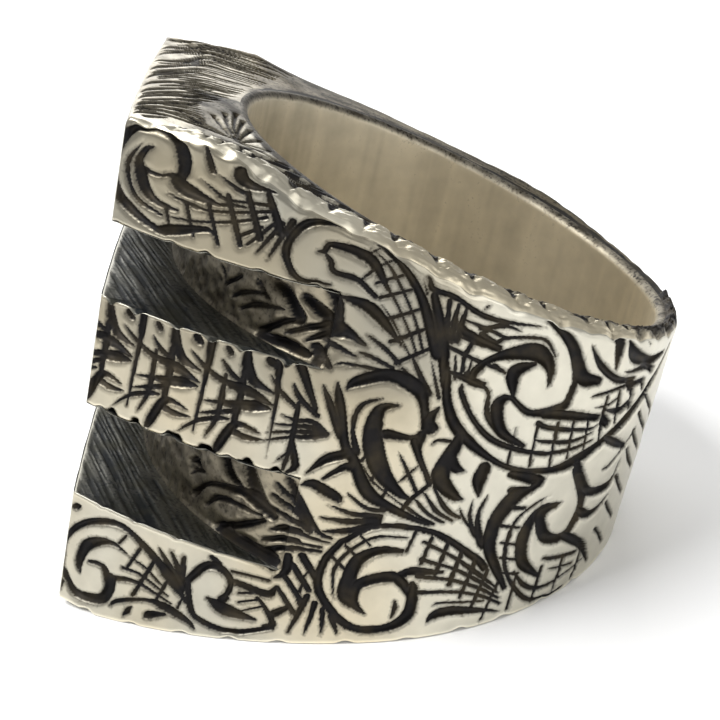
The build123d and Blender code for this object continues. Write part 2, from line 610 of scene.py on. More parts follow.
# Every line of the texts below is one cut, or a fan of cuts blended between leading ones.
SCROLLS = {
    "volute at the top corner": """
    -11.2 9.3 .25, -11.12 9.95 .42, -11.55 10.75 .34, -12.3 11 .22, -13.15 10.85 .2, -13.8 10.35 .25,
        -14.08 9.5 .14
    -14.05 8.5 .14, -13.65 7.75 .3, -12 7.15 .18, -11.3 7.25 .3, -9.8 7.75 .15, -9.3 7.6 .06
    -13 10.3 .02, -13.6 9.2 .14, -13.05 8.1 .12, -11.7 7.7 .06
    -12.5 10.2 .04, -12.85 10 .16, -13.1 9.5 .25, -12.95 8.95 .4, -12.6 8.45 .32, -12 8.15 .16,
        -11.1 8.1 .08
    -12.95 9.2 .2, -12.1 9.2 .08, -11.6 9.35 .12, -11.2 9.2 .4
    -11.35 9.2 .35, -10.9 9.02 .38, -9.6 8.85 .12, -9.1 8.92 .1
    2 of -11.7 8.67 .03, -11 8.55 .08, -10.1 8.5 .08 to -10.45 9.65 .03, -9 9.05 .1, -8.4 9.05 .07
    -10.4 11.05 .08, -10 10.15 .18, -9.75 9.95 .04
    -9.7 10 .03, -8.7 9.6 .12, -8.3 9.62 .1
    -8.72 10.45 .15, -8.8 10.2 .4, -8.45 9.95 .28, -7.3 9.95 .06
    6 of -11.6 8 .1, -11.3 7.3 .06 to -9.5 9.15 .14, -8.7 7.35 .12 to -7.6 9.8 .16, -6.9 8.5 .28
    3 of -11.45 7.75 .05, -10.2 7.95 .07, -8.8 8.35 .08, -7.5 8.9 .1 to
        -9.6 9.1 .05, -9 9.15 .07, -8.3 9.25 .08, -7.3 9.4 .12
    4 of -8.5 7.85 .1, -8 8.2 .1, -7.6 8.5 .08 to -7.2 7.3 .03, -6.85 8.2 .14, -6.5 9 .2
    """,
    "scroll of the upper arm": """
    -4.6 7.02 .05, -5.9 6.95 .15, -6.55 7.9 .22, -6 9.05 .22, -4.6 9.45 .15, -3.1 9.05 .16,
        -1.4 7.55 .22, -.1 5.2 .4
    -5.45 8.15 .02, -5.1 8.25 .14, -4.85 8.55 .16, -3.4 8.35 .28, -2.5 7.35 .1
    -5.1 8.2 .06, -4.8 7.9 .14, -4.6 7.55 .14, -3.7 7.45 .16, -2.9 6.95 .14
    -3.15 8 .1, -3.55 7.5 .06
    7 of -3.05 8.95 .06, -3.45 8.55 .06 to -1.6 7.55 .08, -2.75 6.95 .1 to -.35 5.4 .12, -1.6 4.5 .12
    3 of -3.5 8.85 .03, -2.5 8.1 .07, -1.3 6.45 .07, -.7 5.2 .08 to
        -2.65 6.75 .04, -2.1 6.2 .06, -1.65 5.6 .05, -1.1 4.85 .06
    -4.2 6.68 .1, -2.9 6.42 .32, -1.55 5.3 .06
    -4.6 6.5 .1, -4.42 6.1 .3, -3.95 5.35 .25, -2.7 4.9 .03
    3 of -3.05 5.5 .02, -2.2 5.05 .12, -1.45 4.5 .12 to -3.45 3.9 .02, -3 4.1 .08, -1.9 4.05 .12
    2 of -1.3 4.35 .08, -.55 3.75 .1 to -1.05 4.9 .06, -.1 3.5 .2
    """,
    "ribs between two scrolls": """
    -.75 7.45 .2, 0 5.6 .35, .4 3.9 .12
    3 of -.15 7.4 .12, -.05 6.6 .15, .1 5.8 .25 to .55 7.2 .06, .5 6.5 .18, .5 5.8 .12
    .55 6.4 .2, .8 6.2 .25, 2.2 5.75 .2
    2 of .25 5.55 .1, 1.2 5.25 .12, 2.6 4.85 .1 to .45 4.6 .06, 1.1 4.45 .12, 2 4.25 .1
    2 of .6 6.75 .06, 1.5 6.5 .1, 2.5 6.2 .08 to .55 6.05 .06, 1.2 5.9 .1, 2 5.75 .08
    1.15 4.4 .04, .92 5.2 .12, 1.25 6.1 .12, 1.9 6.7 .1, 2.9 6.9 .03
    4 of .2 5.4 .05, .55 4.3 .08 to 1.25 5.15 .05, 1.2 4.4 .12
    -.35 5 .04, .35 3.4 .1
    -1.1 8.2 .06, -.85 7.7 .16, 0 7.55 .14, 1.5 6.95 .14, 4 6.8 .03
    3 of -1.35 8.1 .03, -1.05 7.5 .06 to 1.15 7.15 .04, 1.35 7.45 .06
    """,
    "scroll of the cheek's middle": """
    4.77 4.15 .02, 4.62 5.15 .3, 3.7 5.72 .52, 2.2 5.4 .24, 1.5 4.75 .24, 1.45 4.3 .18
    3.9 5.22 .14, 3.12 4.8 .42, 3.35 3.8 .12
    2 5.95 .14, 2.5 6.25 .1, 3.9 6.3 .08, 4.5 5.85 .07, 5 5.15 .02
    2 of 1.3 6.5 .12, 2.3 6.7 .1, 2.9 6.55 .05 to 1.35 6.3 .12, 1.6 6.15 .14, 1.9 6.02 .14
    2.2 5.05 .14, 2.75 4.75 .06
    3.9 7.25 .12, 5.4 6.05 .32, 6.4 4.65 .44, 7.45 4.35 .25
    6.05 4.8 .3, 6.1 4.4 .25, 5.95 3.6 .25
    3.3 3.72 .14, 4.3 3.1 .2, 5.6 3.25 .34, 5.95 3.5 .3
    5 3 .2, 5.7 3 .3, 8.1 2.62 .2
    .42 4.5 .2, .75 3.2 .26, 1.6 2 .32, 3.7 .75 .16, 6 .42 .2, 7.5 .75 .4, 9 1.42 .3, 11.5 2.8 .38,
        13.6 4.9 .1
    1.1 4.1 .08, 1.2 3.7 .15, 2 2.6 .14, 3.2 1.75 .18, 5.3 1.27 .13, 6.9 1.32 .12, 8.1 1.6 .06
    .5 4.55 .06, 1.5 4.25 .2, 2.2 3.95 .08, 2.45 2.95 .17, 3.2 2.1 .12
    3.4 3.75 .08, 2.95 3.65 .28, 2.8 3.2 .38, 3.3 2.2 .3, 4.4 1.62 .14
    5 of 3.85 2.45 .05, 3.9 .8 .1 to 5.8 2.6 .12, 6 .6 .09 to 7.5 2.7 .12, 7.7 1.2 .06
    2 of 4.8 2.65 .16, 5.4 2.42 .14, 7.6 2.15 .1, 8.2 2.3 .06 to
        4.85 1.9 .06, 5.5 1.78 .1, 6.9 1.7 .12, 8 2 .05
    """,
    "leaves of the shank": """
    8.25 3.6 .1, 8.45 2.3 .2, 8.6 1.4 .06
    2 of 7.2 3.68 .03, 7.7 3.75 .08, 9.6 3.9 .12 to 7.6 3.15 .03, 8.4 3.15 .07, 9.3 3.45 .05
    6.35 6.05 .03, 7.3 5.05 .2, 8.6 4.3 .2, 9.9 4.05 .2
    7.55 6.95 .15, 8.15 5.9 .42, 8.3 4.8 .06
    8.65 6.15 .03, 9.4 5.3 .4, 10.7 4.78 .3, 11.4 4.65 .28, 12.6 4.75 .12
    8.9 4.62 .03, 9.5 4.5 .08, 10.8 4.5 .2, 11.8 4.1 .2
    9.6 4.05 .15, 9.95 3.75 .3, 10.4 3.85 .16, 10.9 3.8 .2, 11.2 3.4 .16
    2 of 9.1 3.7 .1, 9.35 2.75 .22, 9.4 2.2 .1 to 10.1 3.6 .15, 10.3 3.1 .2, 10.4 2.7 .2
    8.5 2.9 .06, 9.6 2.7 .25, 10.2 2.95 .22
    9.8 6.3 .03, 10.5 5.6 .05
    8.5 2.45 .3, 8.9 2.2 .25
    7 of 11.9 2.9 .1, 13.2 2 .12, 15 .9 .1 to 11.7 .3 .14, 12.4 -.4 .15, 13.7 -1.3 .11 to
        10.7 -3.4 .1, 11.4 -3.9 .12, 12.2 -4.6 .1
    2 of 9.4 1.35 .25, 10.3 .95 .25, 11.3 .55 .16 to 9.6 -.1 .05, 10.2 0 .12, 12 1.2 .06
    8.2 -.3 .35, 9.1 -1.1 .3, 10.7 -1.2 .3, 11.1 -.7 .15, 11.15 -.1 .1
    9 -2.1 .3, 9.6 -2.35 .25, 10.3 -2.2 .2, 10.9 -1.8 .1
    """,
    "scroll under the middle one": """
    7.75 .3 .4, 8.75 -1.4 .36, 8.55 -2.7 .38, 8.05 -3.08 .32, 7.4 -3.05 .32, 6.8 -2.7 .4,
        6.4 -1.75 .34, 7.25 -1.25 .06
    7.3 -1.25 .05, 6.2 -1.5 .3, 5.75 -2.7 .45, 6.1 -4 .38, 7.35 -4.95 .1
    8.2 -3.05 .3, 9.9 -4 .3, 10.9 -5.1 .1
    5.75 -.2 .25, 5.2 -.5 .3, 4.65 -.8 .55, 4.1 -1.9 .5, 4.25 -3.3 .38, 5.5 -5.2 .18
    6.5 -.8 .02, 5.9 -1.1 .09, 5.1 -1.85 .12, 4.95 -3.1 .15, 5.4 -4.5 .13, 6.8 -5.9 .14, 8.2 -6.1 .1,
        9.2 -5.9 .08
    5.7 -4.4 .08, 6.7 -5.3 .15, 8 -5.5 .13, 10.4 -4.8 .06
    6 of 4.4 -.4 .2, 5.3 -.35 .15 to 4.5 -2.5 .08, 5.4 -2.7 .06 to 5 -4.4 .1, 6 -4.55 .1
    4 of 5.95 -4.6 .12, 5.95 -5.5 .13, 5.95 -6.35 .12 to 9.9 -4 .14, 9.95 -4.9 .16, 9.8 -5.7 .1
    2 of 7.2 -3.95 .08, 7.9 -4.1 .13, 9.5 -4.2 .13 to 7.7 -4.6 .04, 8.5 -4.7 .08, 9.4 -4.75 .08
    2.95 .6 .36, 2.85 .05 .4, 3 -.7 .05
    3 of 3.4 -.5 .03, 3.22 -1.6 .15, 3.65 -2.8 .24, 4 -3.15 .14 to
        2.2 -1 .02, 2.45 -1.5 .06, 2.8 -1.95 .08, 3.2 -2.3 .06
    4.2 .35 .2, 5.6 0 .36, 5.9 -.15 .12
    """,
    "scroll beside the crease": """
    -3.2 3.1 .1, -2.85 3.45 .3, -1.7 3.95 .38, -.55 3.65 .44, -.18 3.1 .26, .08 2.2 .2
    .5 3.1 .03, .2 2.5 .3, .25 2.1 .42, .4 2.1 .3
    -3.62 3.3 .04, -3.35 2.4 .26, -2.8 .7 .26, -2.45 .3 .28, -1.55 -1.1 .4, -.5 -1.65 .26, 1.2 -2.15 .15
    -1 2.85 .02, -1.78 2.45 .3, -1.8 1.2 .56, -1.2 -.1 .52, -.3 -.95 .28, .2 -1.1 .08
    -1.6 3.05 .02, -2.5 2.5 .13, -2.65 1.5 .12, -2.3 .5 .22
    0 1.75 .15, -.35 1.55 .16, -1.3 1.5 .3
    -.15 1.4 .26, .1 .9 .2, .42 .2 .06
    -.75 .95 .03, -.2 .15 .1, .45 -.85 .12
    .2 .4 .05, -.15 -.1 .08, -.5 -.6 .04
    -1.95 -.02 .05, -1.3 -.7 .06, .6 -1.8 .05
    3 of -1.85 .45 .1, -2.1 .1 .1 to -.75 -.8 .1, -.9 -1.25 .1
    .95 -.2 .12, .2 -1.2 .14, -.05 -1.85 .08
    1.6 1.9 .3, 1.2 .1 .52, 1.9 -.7 .3, 2.35 -.85 .06
    .05 1.75 .25, .12 1 .12, .85 -.35 .16
    .5 1.4 .05, .7 1.62 .08, 1.2 1.65 .12
    1.35 .95 .4, 1.7 .5 .32, 2.05 .42 .1
    4 of 1 -.4 .06, 1.75 -1.35 .14, 2.5 -1.75 .05 to .2 -1.5 .08, .7 -1.8 .1, 1.4 -2.1 .1
    """,
    "leaves at the crease": """
    -4.15 3.05 .03, -3.75 2.35 .18, -3.35 1.6 .24, -3.05 .95 .14
    -4.75 4.45 .2, -4.45 4.15 .26, -4 3.75 .14
    2 of -4.6 4.85 .1, -3.9 4.6 .16, -3 4.4 .04 to -3.9 3.9 .04, -3.5 4.05 .08, -2.8 4.1 .04
    -4.1 -.95 .03, -3.4 -.1 .26, -2.6 .35 .28
    -4.85 .2 .2, -4.55 -.7 .2, -4.85 -1.1 .08
    -3.35 -.95 .1, -2.7 -.3 .2, -2.4 -.2 .3
    -4.2 -1.5 .03, -3.7 -1.32 .3, -2.75 -1.6 .3, -2.55 -1.75 .18
    4 of -2.4 -1.25 .03, -1.5 -1.82 .13, -.7 -1.85 .1 to
        -3.3 -2.35 .03, -2.2 -2.4 .14, -.9 -2.3 .3 to -3 -3.3 .05, -1.9 -3 .2, -.8 -2.55 .25
    -4.75 -1.4 .08, -3.95 -2.5 .26, -3.1 -3.35 .16, -2.5 -3.5 .08
    2 of -4.95 -3.85 .04, -4.5 -3.65 .17, -2.5 -3.72 .05 to -5.4 -4.5 .04, -4.9 -4.22 .15, -2.8 -4 .06
    -5.3 -4.9 .04, -4.1 -4.45 .16, -2.8 -4.2 .1
    -2.5 -4.4 .25, -2.7 -4.9 .12
    4 of -4.55 -1.5 .06, -4.1 -2.4 .1 to -5.2 -2.8 .04, -3.4 -3.45 .14
    """,
    "scroll of the lower arm": """
    1.15 -4.9 .1, 1.3 -5.4 .3, 1.28 -6.6 .36, .3 -7.35 .26, -1.1 -7.4 .26, -2.5 -6.1 .26,
        -2.6 -4.7 .22, -2.1 -3.6 .2
    -2.1 -3.6 .2, -.7 -2.55 .16, 1.5 -2.5 .2, 3.6 -3.6 .22, 4.2 -4.1 .25
    1.15 -5.5 .2, .75 -5 .3, .2 -4.78 .36, -.9 -5.3 .34, -1.15 -5.9 .34, -.95 -6.4 .24, -.4 -6.75 .03
    .4 -3.52 .15, -.3 -3.6 .25, -.9 -3.9 .32, -1.35 -4.5 .38, -1.45 -5.9 .46, -1.15 -6.3 .3
    .5 -2.85 .05, -.7 -3.05 .1, -1.6 -3.8 .1, -2.1 -4.9 .11, -1.85 -6.45 .03
    3 of -1.4 -3.1 .08, -.9 -3.5 .08 to -2.35 -4.3 .1, -1.7 -4.8 .1
    7 of .78 -2.5 .1, .6 -3.5 .08 to 2.95 -3.2 .14, 2.75 -4.9 .14 to 5.1 -4.8 .13, 4.7 -6.7 .08
    4 of 1.2 -2.95 .1, 2.6 -3.55 .1, 3.9 -4.35 .14, 5 -5.1 .06 to
        1.35 -5.4 .15, 3 -5.25 .1, 4.4 -5.5 .1, 5.5 -6 .1
    .62 -4.6 .24, 1.1 -4.37 .26, 2.3 -4.3 .12
    2.2 -6.05 .03, 2.6 -5.8 .08, 4.6 -5.75 .06
    2.2 -6.8 .05, 2.5 -6.4 .3, 3.2 -6.2 .32, 4.8 -6.25 .14, 5.5 -6.4 .06
    .6 -5.85 .05, .7 -6.2 .12, .65 -6.7 .06
    4 of -2.95 -6.4 .2, -3.15 -7.3 .15, -3.42 -8.3 .06 to -1.85 -7.1 .16, -1.6 -7.5 .14, -1.38 -7.95 .04
    """,
    "volute at the bottom corner": """
    -11.45 -8.6 .3, -11.52 -9.3 .34, -11.9 -9.87 .32, -13.2 -10.1 .28, -14.05 -9.1 .15
    -14.05 -9.1 .15, -13.95 -7.6 .18, -13 -6.5 .2, -11.5 -5.95 .2, -10.2 -6.4 .2, -8.7 -7.5 .36,
        -7.9 -8.3 .1
    -10.7 -7.15 .03, -11.8 -6.95 .17, -12.9 -7.6 .36, -13.2 -8.6 .26, -13 -9.1 .03
    -12.68 -8.32 .12, -12.2 -8.2 .15, -11.8 -8.35 .22, -11.52 -9.2 .3
    3 of -10.7 -7.2 .05, -9.9 -7.42 .08, -8.9 -8 .05 to -11.3 -8.5 .16, -10.2 -8.25 .14, -8.5 -8.6 .06
    5 of -11.05 -6.3 .08, -11.35 -6.8 .08 to -9.6 -6.95 .14, -10.3 -8.9 .12 to
        -8.1 -8.2 .08, -8.2 -8.7 .08
    -11.35 -9.95 .04, -11 -9.55 .15, -9.7 -8.9 .12, -8.7 -8.9 .3, -7.7 -9.15 .2, -7.3 -9.42 .06
    2 of -10.65 -10.15 .04, -10.45 -9.8 .17, -10.3 -9.5 .06 to
        -9.6 -9.8 .05, -9.42 -9.55 .26, -8.7 -9.22 .1
    3 of -9.5 -6.2 .04, -8.4 -7.5 .35, -8.2 -7.8 .25 to -8.3 -6.2 .1, -8.3 -6.7 .2, -8.35 -7.2 .3
    -13.95 -6.15 .05, -13.7 -6.05 .2, -13.5 -5.95 .06
    -14 -10.3 .1, -13.95 -9.9 .2
    """,
    "small scroll of the lower arm": """
    -6.5 -7.55 .1, -6.22 -7.25 .16, -6.15 -6.7 .18, -6.4 -6.32 .22, -6.9 -6.15 .26, -7.4 -6.35 .26,
        -8.02 -7.3 .22
    -8.02 -7.3 .22, -7.65 -8.5 .2, -7.2 -8.9 .2, -5.8 -9 .2, -4.1 -8.3 .14
    -7.1 -7.7 .03, -6.3 -8 .42, -4.9 -8.1 .12
    -6.25 -7.45 .2, -6.45 -7.75 .25
    -7.12 -5.8 .2, -6.8 -6 .2
    -6 -6.6 .2, -4.6 -6.75 .25, -4.3 -6.4 .14
    -6.2 -6.12 .08, -4.6 -6.08 .08
    3 of -5.75 -7.05 .08, -5.2 -6.9 .1 to -5.6 -7.9 .05, -4.7 -7.4 .08
    -4.1 -4.9 .3, -4 -5.3 .3, -4.15 -5.7 .2, -4.45 -5.9 .06
    4 of -3.5 -4.65 .25, -2.75 -5.5 .2 to -4.25 -6.3 .14, -3.35 -7.3 .15
    3 of -3.1 -5.2 .06, -3.35 -5.75 .08 to -3.4 -6.3 .1, -3.2 -6.8 .14
    -4.95 -7.05 .12, -4.6 -7.35 .13, -4.1 -8.1 .2, -4.4 -8.3 .16
    -4.15 -7.6 .25, -3.6 -7.1 .16
    """,
}

FEATHER = """
    -1.5 3.5 .2, -1.5 3 .18, -1.52 2.1 .12, -1.65 -.5 .05
    0 3.5 .16, .08 2.9 .26, .4 2.4 .24, .9 2.2 .13, 1.4 2.1 .04
    0 2.6 .15, .02 1.5 .17, -.05 .4 .14
    -2.3 2.85 .03, -1.6 2.35 .1, -.8 2.02 .14, .3 1.88 .25, 1.35 1.6 .06
    -.95 2.9 .03, -.55 2.45 .12, 0 2.15 .12
    -.7 2.3 .07, -.72 1.2 .14, -.8 .3 .11, -1.15 -.6 .03
    -1.45 .95 .03, -.3 1.15 .16, .6 1.35 .24, 1.3 1.43 .06
    -1.55 .35 .03, -.8 .62 .12, -.1 .9 .13
    -.6 -1.1 .08, -.5 -.75 .2, -.1 .2 .2, .3 .42 .13, 1.1 .3 .03
    -2.4 -.85 .02, -1.6 -.05 .1, -.8 .35 .12, -.3 .5 .08
    .05 .02 .16, .6 -.05 .12, 1.25 .05 .03
    2 of -.8 3.4 .12, -.66 3.24 .14 to .95 3.4 .2, 1.1 3.3 .18
    2 of -1.15 -1.1 .16, -1.15 -1.25 .2 to .8 -1 .12, .8 -1.25 .3
"""
FEATHER_PLACES = (-13.45, -10.35, -7.25)
THINNEST_CUT = 0.03

FEATHER_END = """
    -5.97 3.4 .22, -5.8 2 .1, -5.75 -.62 .03
    -5.1 3.5 .26, -4.7 2.8 .2, -4.2 1.9 .12
    2 of -6.3 3 .02, -5.7 2.3 .1, -4.9 1.75 .12 to -5.25 2.75 .05, -4.9 2.2 .15, -4.1 1.65 .14
    -4.9 2 .1, -4.88 1 .16, -4.9 0 .15, -5 -1.1 .06
    4 of -5.5 1.35 .04, -4.9 1.25 .1, -4.2 1.35 .14, -3.55 1 .1 to
        -6.2 -.05 .03, -5 .45 .1, -4.3 .65 .14, -3.6 .9 .1
    -5.4 -.75 .03, -4.9 -.2 .1
    -5.3 -1.1 .14, -5.3 -1.3 .3
"""

NOTCH_LEAVES = """
    3 of -9.7 5.9 .12, -9.3 6.15 .12, -8.9 6.4 .1 to -8.6 5.1 .1, -7.8 5.45 .15, -6.4 5.6 .06
    -7.3 4.45 .25, -6.4 5.05 .18, -5.8 5.3 .15
    2 of -7 6.6 .2, -6.5 6.3 .3, -5.7 5.4 .4 to -5.6 6.3 .25, -4.6 5.75 .35, -4.1 5.7 .2
    2 of -6.1 4.7 .1, -5 5.2 .2, -3.9 5.3 .25 to -5.2 4.6 .1, -4.3 5.1 .3, -3.8 5.25 .35
    -7.3 4.3 .2, -6 4.25 .3, -5 4.05 .2
    2 of -4.85 4.4 .2, -4.5 3.75 .2 to -4.2 4.7 .12, -4.7 3.7 .15
    -4.6 6.7 .2, -4.3 6.4 .35, -4 5.6 .2
    2 of -10.2 6.6 .05, -9.9 6.2 .12, -9.8 5.7 .05 to -8 6.5 .05, -7.6 6.1 .16, -7.2 5.8 .05
    -4.6 5.35 .3, -4 5.35 .42, -2.8 4.98 .04
    2 of -9.9 -2.3 .1, -9.6 -2.15 .2, -9.2 -2.4 .1 to -9.8 -2.9 .06, -9.5 -2.6 .12, -9 -2.5 .12
    -9.4 -3.7 .25, -8.5 -2.9 .15, -7 -2.65 .25, -6 -2.75 .45, -5.1 -3.2 .3
    2 of -8.5 -3.9 .1, -7.7 -3.3 .2, -5.6 -3.35 .1 to -7.5 -4.6 .3, -6.2 -4 .22, -5.4 -3.5 .15
    2 of -8.1 -1.2 .3, -7.5 -2 .28, -6.7 -2.5 .15 to -6.7 -1.3 .3, -6.1 -2.3 .4, -5.5 -2.9 .3
    3 of -5.2 -1.7 .12, -4.8 -2 .15, -4.1 -2.4 .2 to -5.3 -2.8 .12, -4.3 -3.15 .17, -3.4 -3.3 .2
    -4.7 -1.4 .2, -3.4 -3.2 .3
    3 of -5 -3.8 .1, -4.5 -3.65 .25, -3.8 -3.6 .2 to -5.4 -5 .1, -4.6 -4.6 .2, -3.8 -4.45 .1
    -7.2 -4.7 .3, -5 -5.1 .5, -4.6 -5.4 .3
"""


@dataclass(frozen=True)
class Motif:
    """A group of cuts that can be cut again elsewhere."""

    cuts: tuple[Array, ...]

    @classmethod
    def read(cls, text: str, widen: float = 1.45) -> "Motif":
        """Reads every line of a text and widens its cuts by one share.

        Args:
            text: one line of the ornament on each line; a comma or "to" at the end runs it on.
            widen: share by which every width grows.

        Returns:
            The motif.
        """
        whole = text.replace(",\n", ",").replace(" to\n", " to ")
        cuts = [cut for line in whole.splitlines() if line.strip() for cut in strokes(line)]
        for cut in cuts:
            cut[:, 2] = np.maximum(cut[:, 2] * widen, THINNEST_CUT)
        return cls(tuple(cuts))

    def moved(self, along: float, up: float, up_scale: float = 1.0) -> "Motif":
        """The motif stretched up the wall and carried along it, its widths following the stretch."""
        scale, shift = np.array([1, up_scale, sqrt(up_scale)]), np.array([along, up, 0])
        return Motif(tuple(cut * scale + shift for cut in self.cuts))

    def __add__(self, other: "Motif") -> "Motif":
        """Both motifs together."""
        return Motif(self.cuts + other.cuts)


def feather_row() -> Motif:
    """The feathers side by side, and what shows of one more beside the crease.

    Returns:
        The whole row as one motif.
    """
    feather, row = Motif.read(FEATHER, widen=1.85), Motif.read(FEATHER_END, widen=1.6)
    for place in FEATHER_PLACES:
        row += feather.moved(place, 0)
    return row


def scrolls() -> Motif:
    """Every scroll and leaf that both cheeks share."""
    return Motif.read("".join(SCROLLS.values()))


def cheek_motif() -> Motif:
    """The near cheek: scrolls, the middle arm's feathers and leaves that leave the notches."""
    return scrolls() + feather_row() + Motif.read(NOTCH_LEAVES)


def floor_motif() -> Motif:
    """The notch floors' own leaves with the cheek's leaves that run on to them."""
    return Motif.read(NOTCH_LEAVES) + Motif.read(SCROLLS["leaves at the crease"])


def far_motif() -> Motif:
    """The far cheek: the near one's scrolls, and feathers where that one has its notches too."""
    row = feather_row()
    return scrolls() + row + row.moved(0, 4.45, 0.6) + row.moved(0, -4.3, 0.82)


@dataclass
class Wall:
    """Outer wall of one side, from the letter face round to the middle of the back."""

    sizes: RingSizes
    side: int
    columns: Array
    row_step: float
    pattern: Motif
    graver: Graver = Graver()
    unevenness: float = 0.05
    rim_fade: float = 0.25
    corner_fade: float = 0.2
    stain_and_shade_fade: float = 0.12
    share_s: float = 6.0
    bite_reach: float = 0.55
    # Painted shade: the blends and shares below darken the wall towards its top and the head, and
    # painted light brightens it towards the back.
    shade_up: Blend = Blend(0.5, 4.0)
    shade_s: Blend = Blend(2.0, -4.0)
    darkest_s: Blend = Blend(-9.0, 3.0)
    lit_s: Blend = Blend(-8.0, 8.0)
    warm_s: Blend = Blend(4.0, -6.0)
    uneven_cell: float = 0.9
    cloud_cell: float = 2.4
    plain_tone: float = 0.5
    bright_tone: float = 0.4
    dulling: float = 1.1
    least_shade: float = 0.7
    more_shade: float = 0.3
    warmth: float = 0.35
    warm_clouds: float = 0.6
    # Worn edges brightened, partly as a painted highlight where the rounding would catch the light.
    edge_polish_and_highlight: float = 1.1
    polish_and_highlight_reach: float = 0.2

    def marks(self, s: Array) -> Array:
        """Height marks of each column: both rims and the notch edges.

        In front the marks are the notch edges themselves. Behind the notches they ease over to
        equal shares of the wall's own height, so that no row meets a rim.

        Args:
            s: arc length of each column.

        Returns:
            Rows of heights, from the lower rim up.
        """
        _, y = self.sizes.plan(s)
        low, high = self.sizes.foot(y), self.sizes.top(y, self.side)
        _, y_end = self.sizes.plan(np.array([self.sizes.floor_s]))
        end_low, end_high = self.sizes.foot(y_end)[0], self.sizes.top(y_end)[0]
        ease = Blend(self.sizes.floor_s, self.share_s).at(s)
        inner = []
        for height in NOTCH_HEIGHTS:
            share = (height - end_low) / (end_high - end_low)
            inner.append(height * (1 - ease) + (low + share * (high - low)) * ease)
        return np.stack([low, *inner, high])

    def grid(self) -> tuple[Array, Array, Array]:
        """Spreads rows evenly inside each band of the wall, across all its columns.

        Returns:
            Arc length and height of every point, and the band of each row of cells.
        """
        marks = self.marks(self.columns)
        spans = (marks[1:] - marks[:-1]).max(axis=1)
        rows, bands = [], []
        for band, span in enumerate(spans):
            count = max(4, int(span / self.row_step))
            share = np.arange(count)[:, None] / count
            rows.append(marks[band] * (1 - share) + marks[band + 1] * share)
            bands += [band] * count
        rows.append(marks[-1:])
        up = np.vstack(rows)
        return np.broadcast_to(self.columns, up.shape), up, np.array(bands)

    def sheet(self) -> Sheet:
        """The wall, sunk along its outward direction by the cuts and rolled over at its edges.

        Returns:
            Its surface, on the near side without the notches' cells.
        """
        sizes = self.sizes
        s, up, bands = self.grid()
        x, y = sizes.plan(s)
        nx, ny = sizes.plan_normal(s)
        low, high = sizes.foot(y), sizes.top(y, self.side)
        depth, dark = self.carved(s, up, np.minimum(up - low, high - up))
        lift, sink, bitten, polish_and_highlight = self.edge_lift(s, up, low, high)
        dark = np.maximum(dark, bitten)
        wall_x, wall_y = x - nx * (depth + sink), y - ny * (depth + sink)
        corner_in, corner_sink = edge_roll(s - sizes.corner_s, sizes.edge_round)
        wall_y += corner_in
        wall_x -= nx * corner_sink
        points = np.stack([self.side * wall_x, wall_y, up + lift], axis=-1)
        skip = self.windows(s, bands) if self.side > 0 else None
        tone, warm = self.wear(s, up)
        # The tone carries painted shade and light; the polish brightens the worn edges, partly as
        # painted highlight.
        return Sheet(points, dark, tone + polish_and_highlight, warm, skip, flip=self.side < 0)

    def carved(self, s: Array, up: Array, rim_gap: Array) -> tuple[Array, Array]:
        """Depth and darkness of the cuts and the uneven metal, faded out at rims, ends and creases.

        Args:
            s: arc length of each point.
            up: height of each point.
            rim_gap: distance of each point to the nearer rim.

        Returns:
            Depth and darkness of each point.
        """
        sizes = self.sizes
        depth, dark = self.graver.carve(s, up, self.pattern.cuts)
        fade = smoothstep(rim_gap / self.rim_fade)
        fade = fade * Blend(sizes.corner_s, self.corner_fade).at(s)
        fade *= Blend(sizes.back_s, -self.corner_fade).at(s)
        depth = depth * fade
        depth += self.unevenness * value_noise(s, up, self.uneven_cell, Noise.WALL) * fade
        if self.side > 0:
            away = np.abs(s - sizes.floor_s)
            behind = s >= sizes.floor_s
            depth *= 1 - sizes.crease(away, up, sizes.crease_bare)
            depth += sizes.crease_sink * sizes.crease(away, up, sizes.crease_reach) * behind
        return depth, dark * smoothstep(rim_gap / self.stain_and_shade_fade)

    def wear(self, s: Array, up: Array) -> tuple[Array, Array]:
        """Paints shade and warmth on the wall towards the head, darkest at its top, and light towards
        the back.

        Args:
            s: arc length of each point.
            up: height of each point.

        Returns:
            Brightness, with its painted light and shade, and warm tint of each point.
        """
        shaded = self.shade_up.at(up) * self.shade_s.at(s)
        shaded = shaded * (self.least_shade + self.more_shade * self.darkest_s.at(s))
        tone = self.plain_tone + self.bright_tone * self.lit_s.at(s) - self.dulling * shaded
        cloud = value_noise(s, up, self.cloud_cell, Noise.WARMTH) - 0.5
        return tone, (self.warmth + self.warm_clouds * cloud) * self.warm_s.at(s)

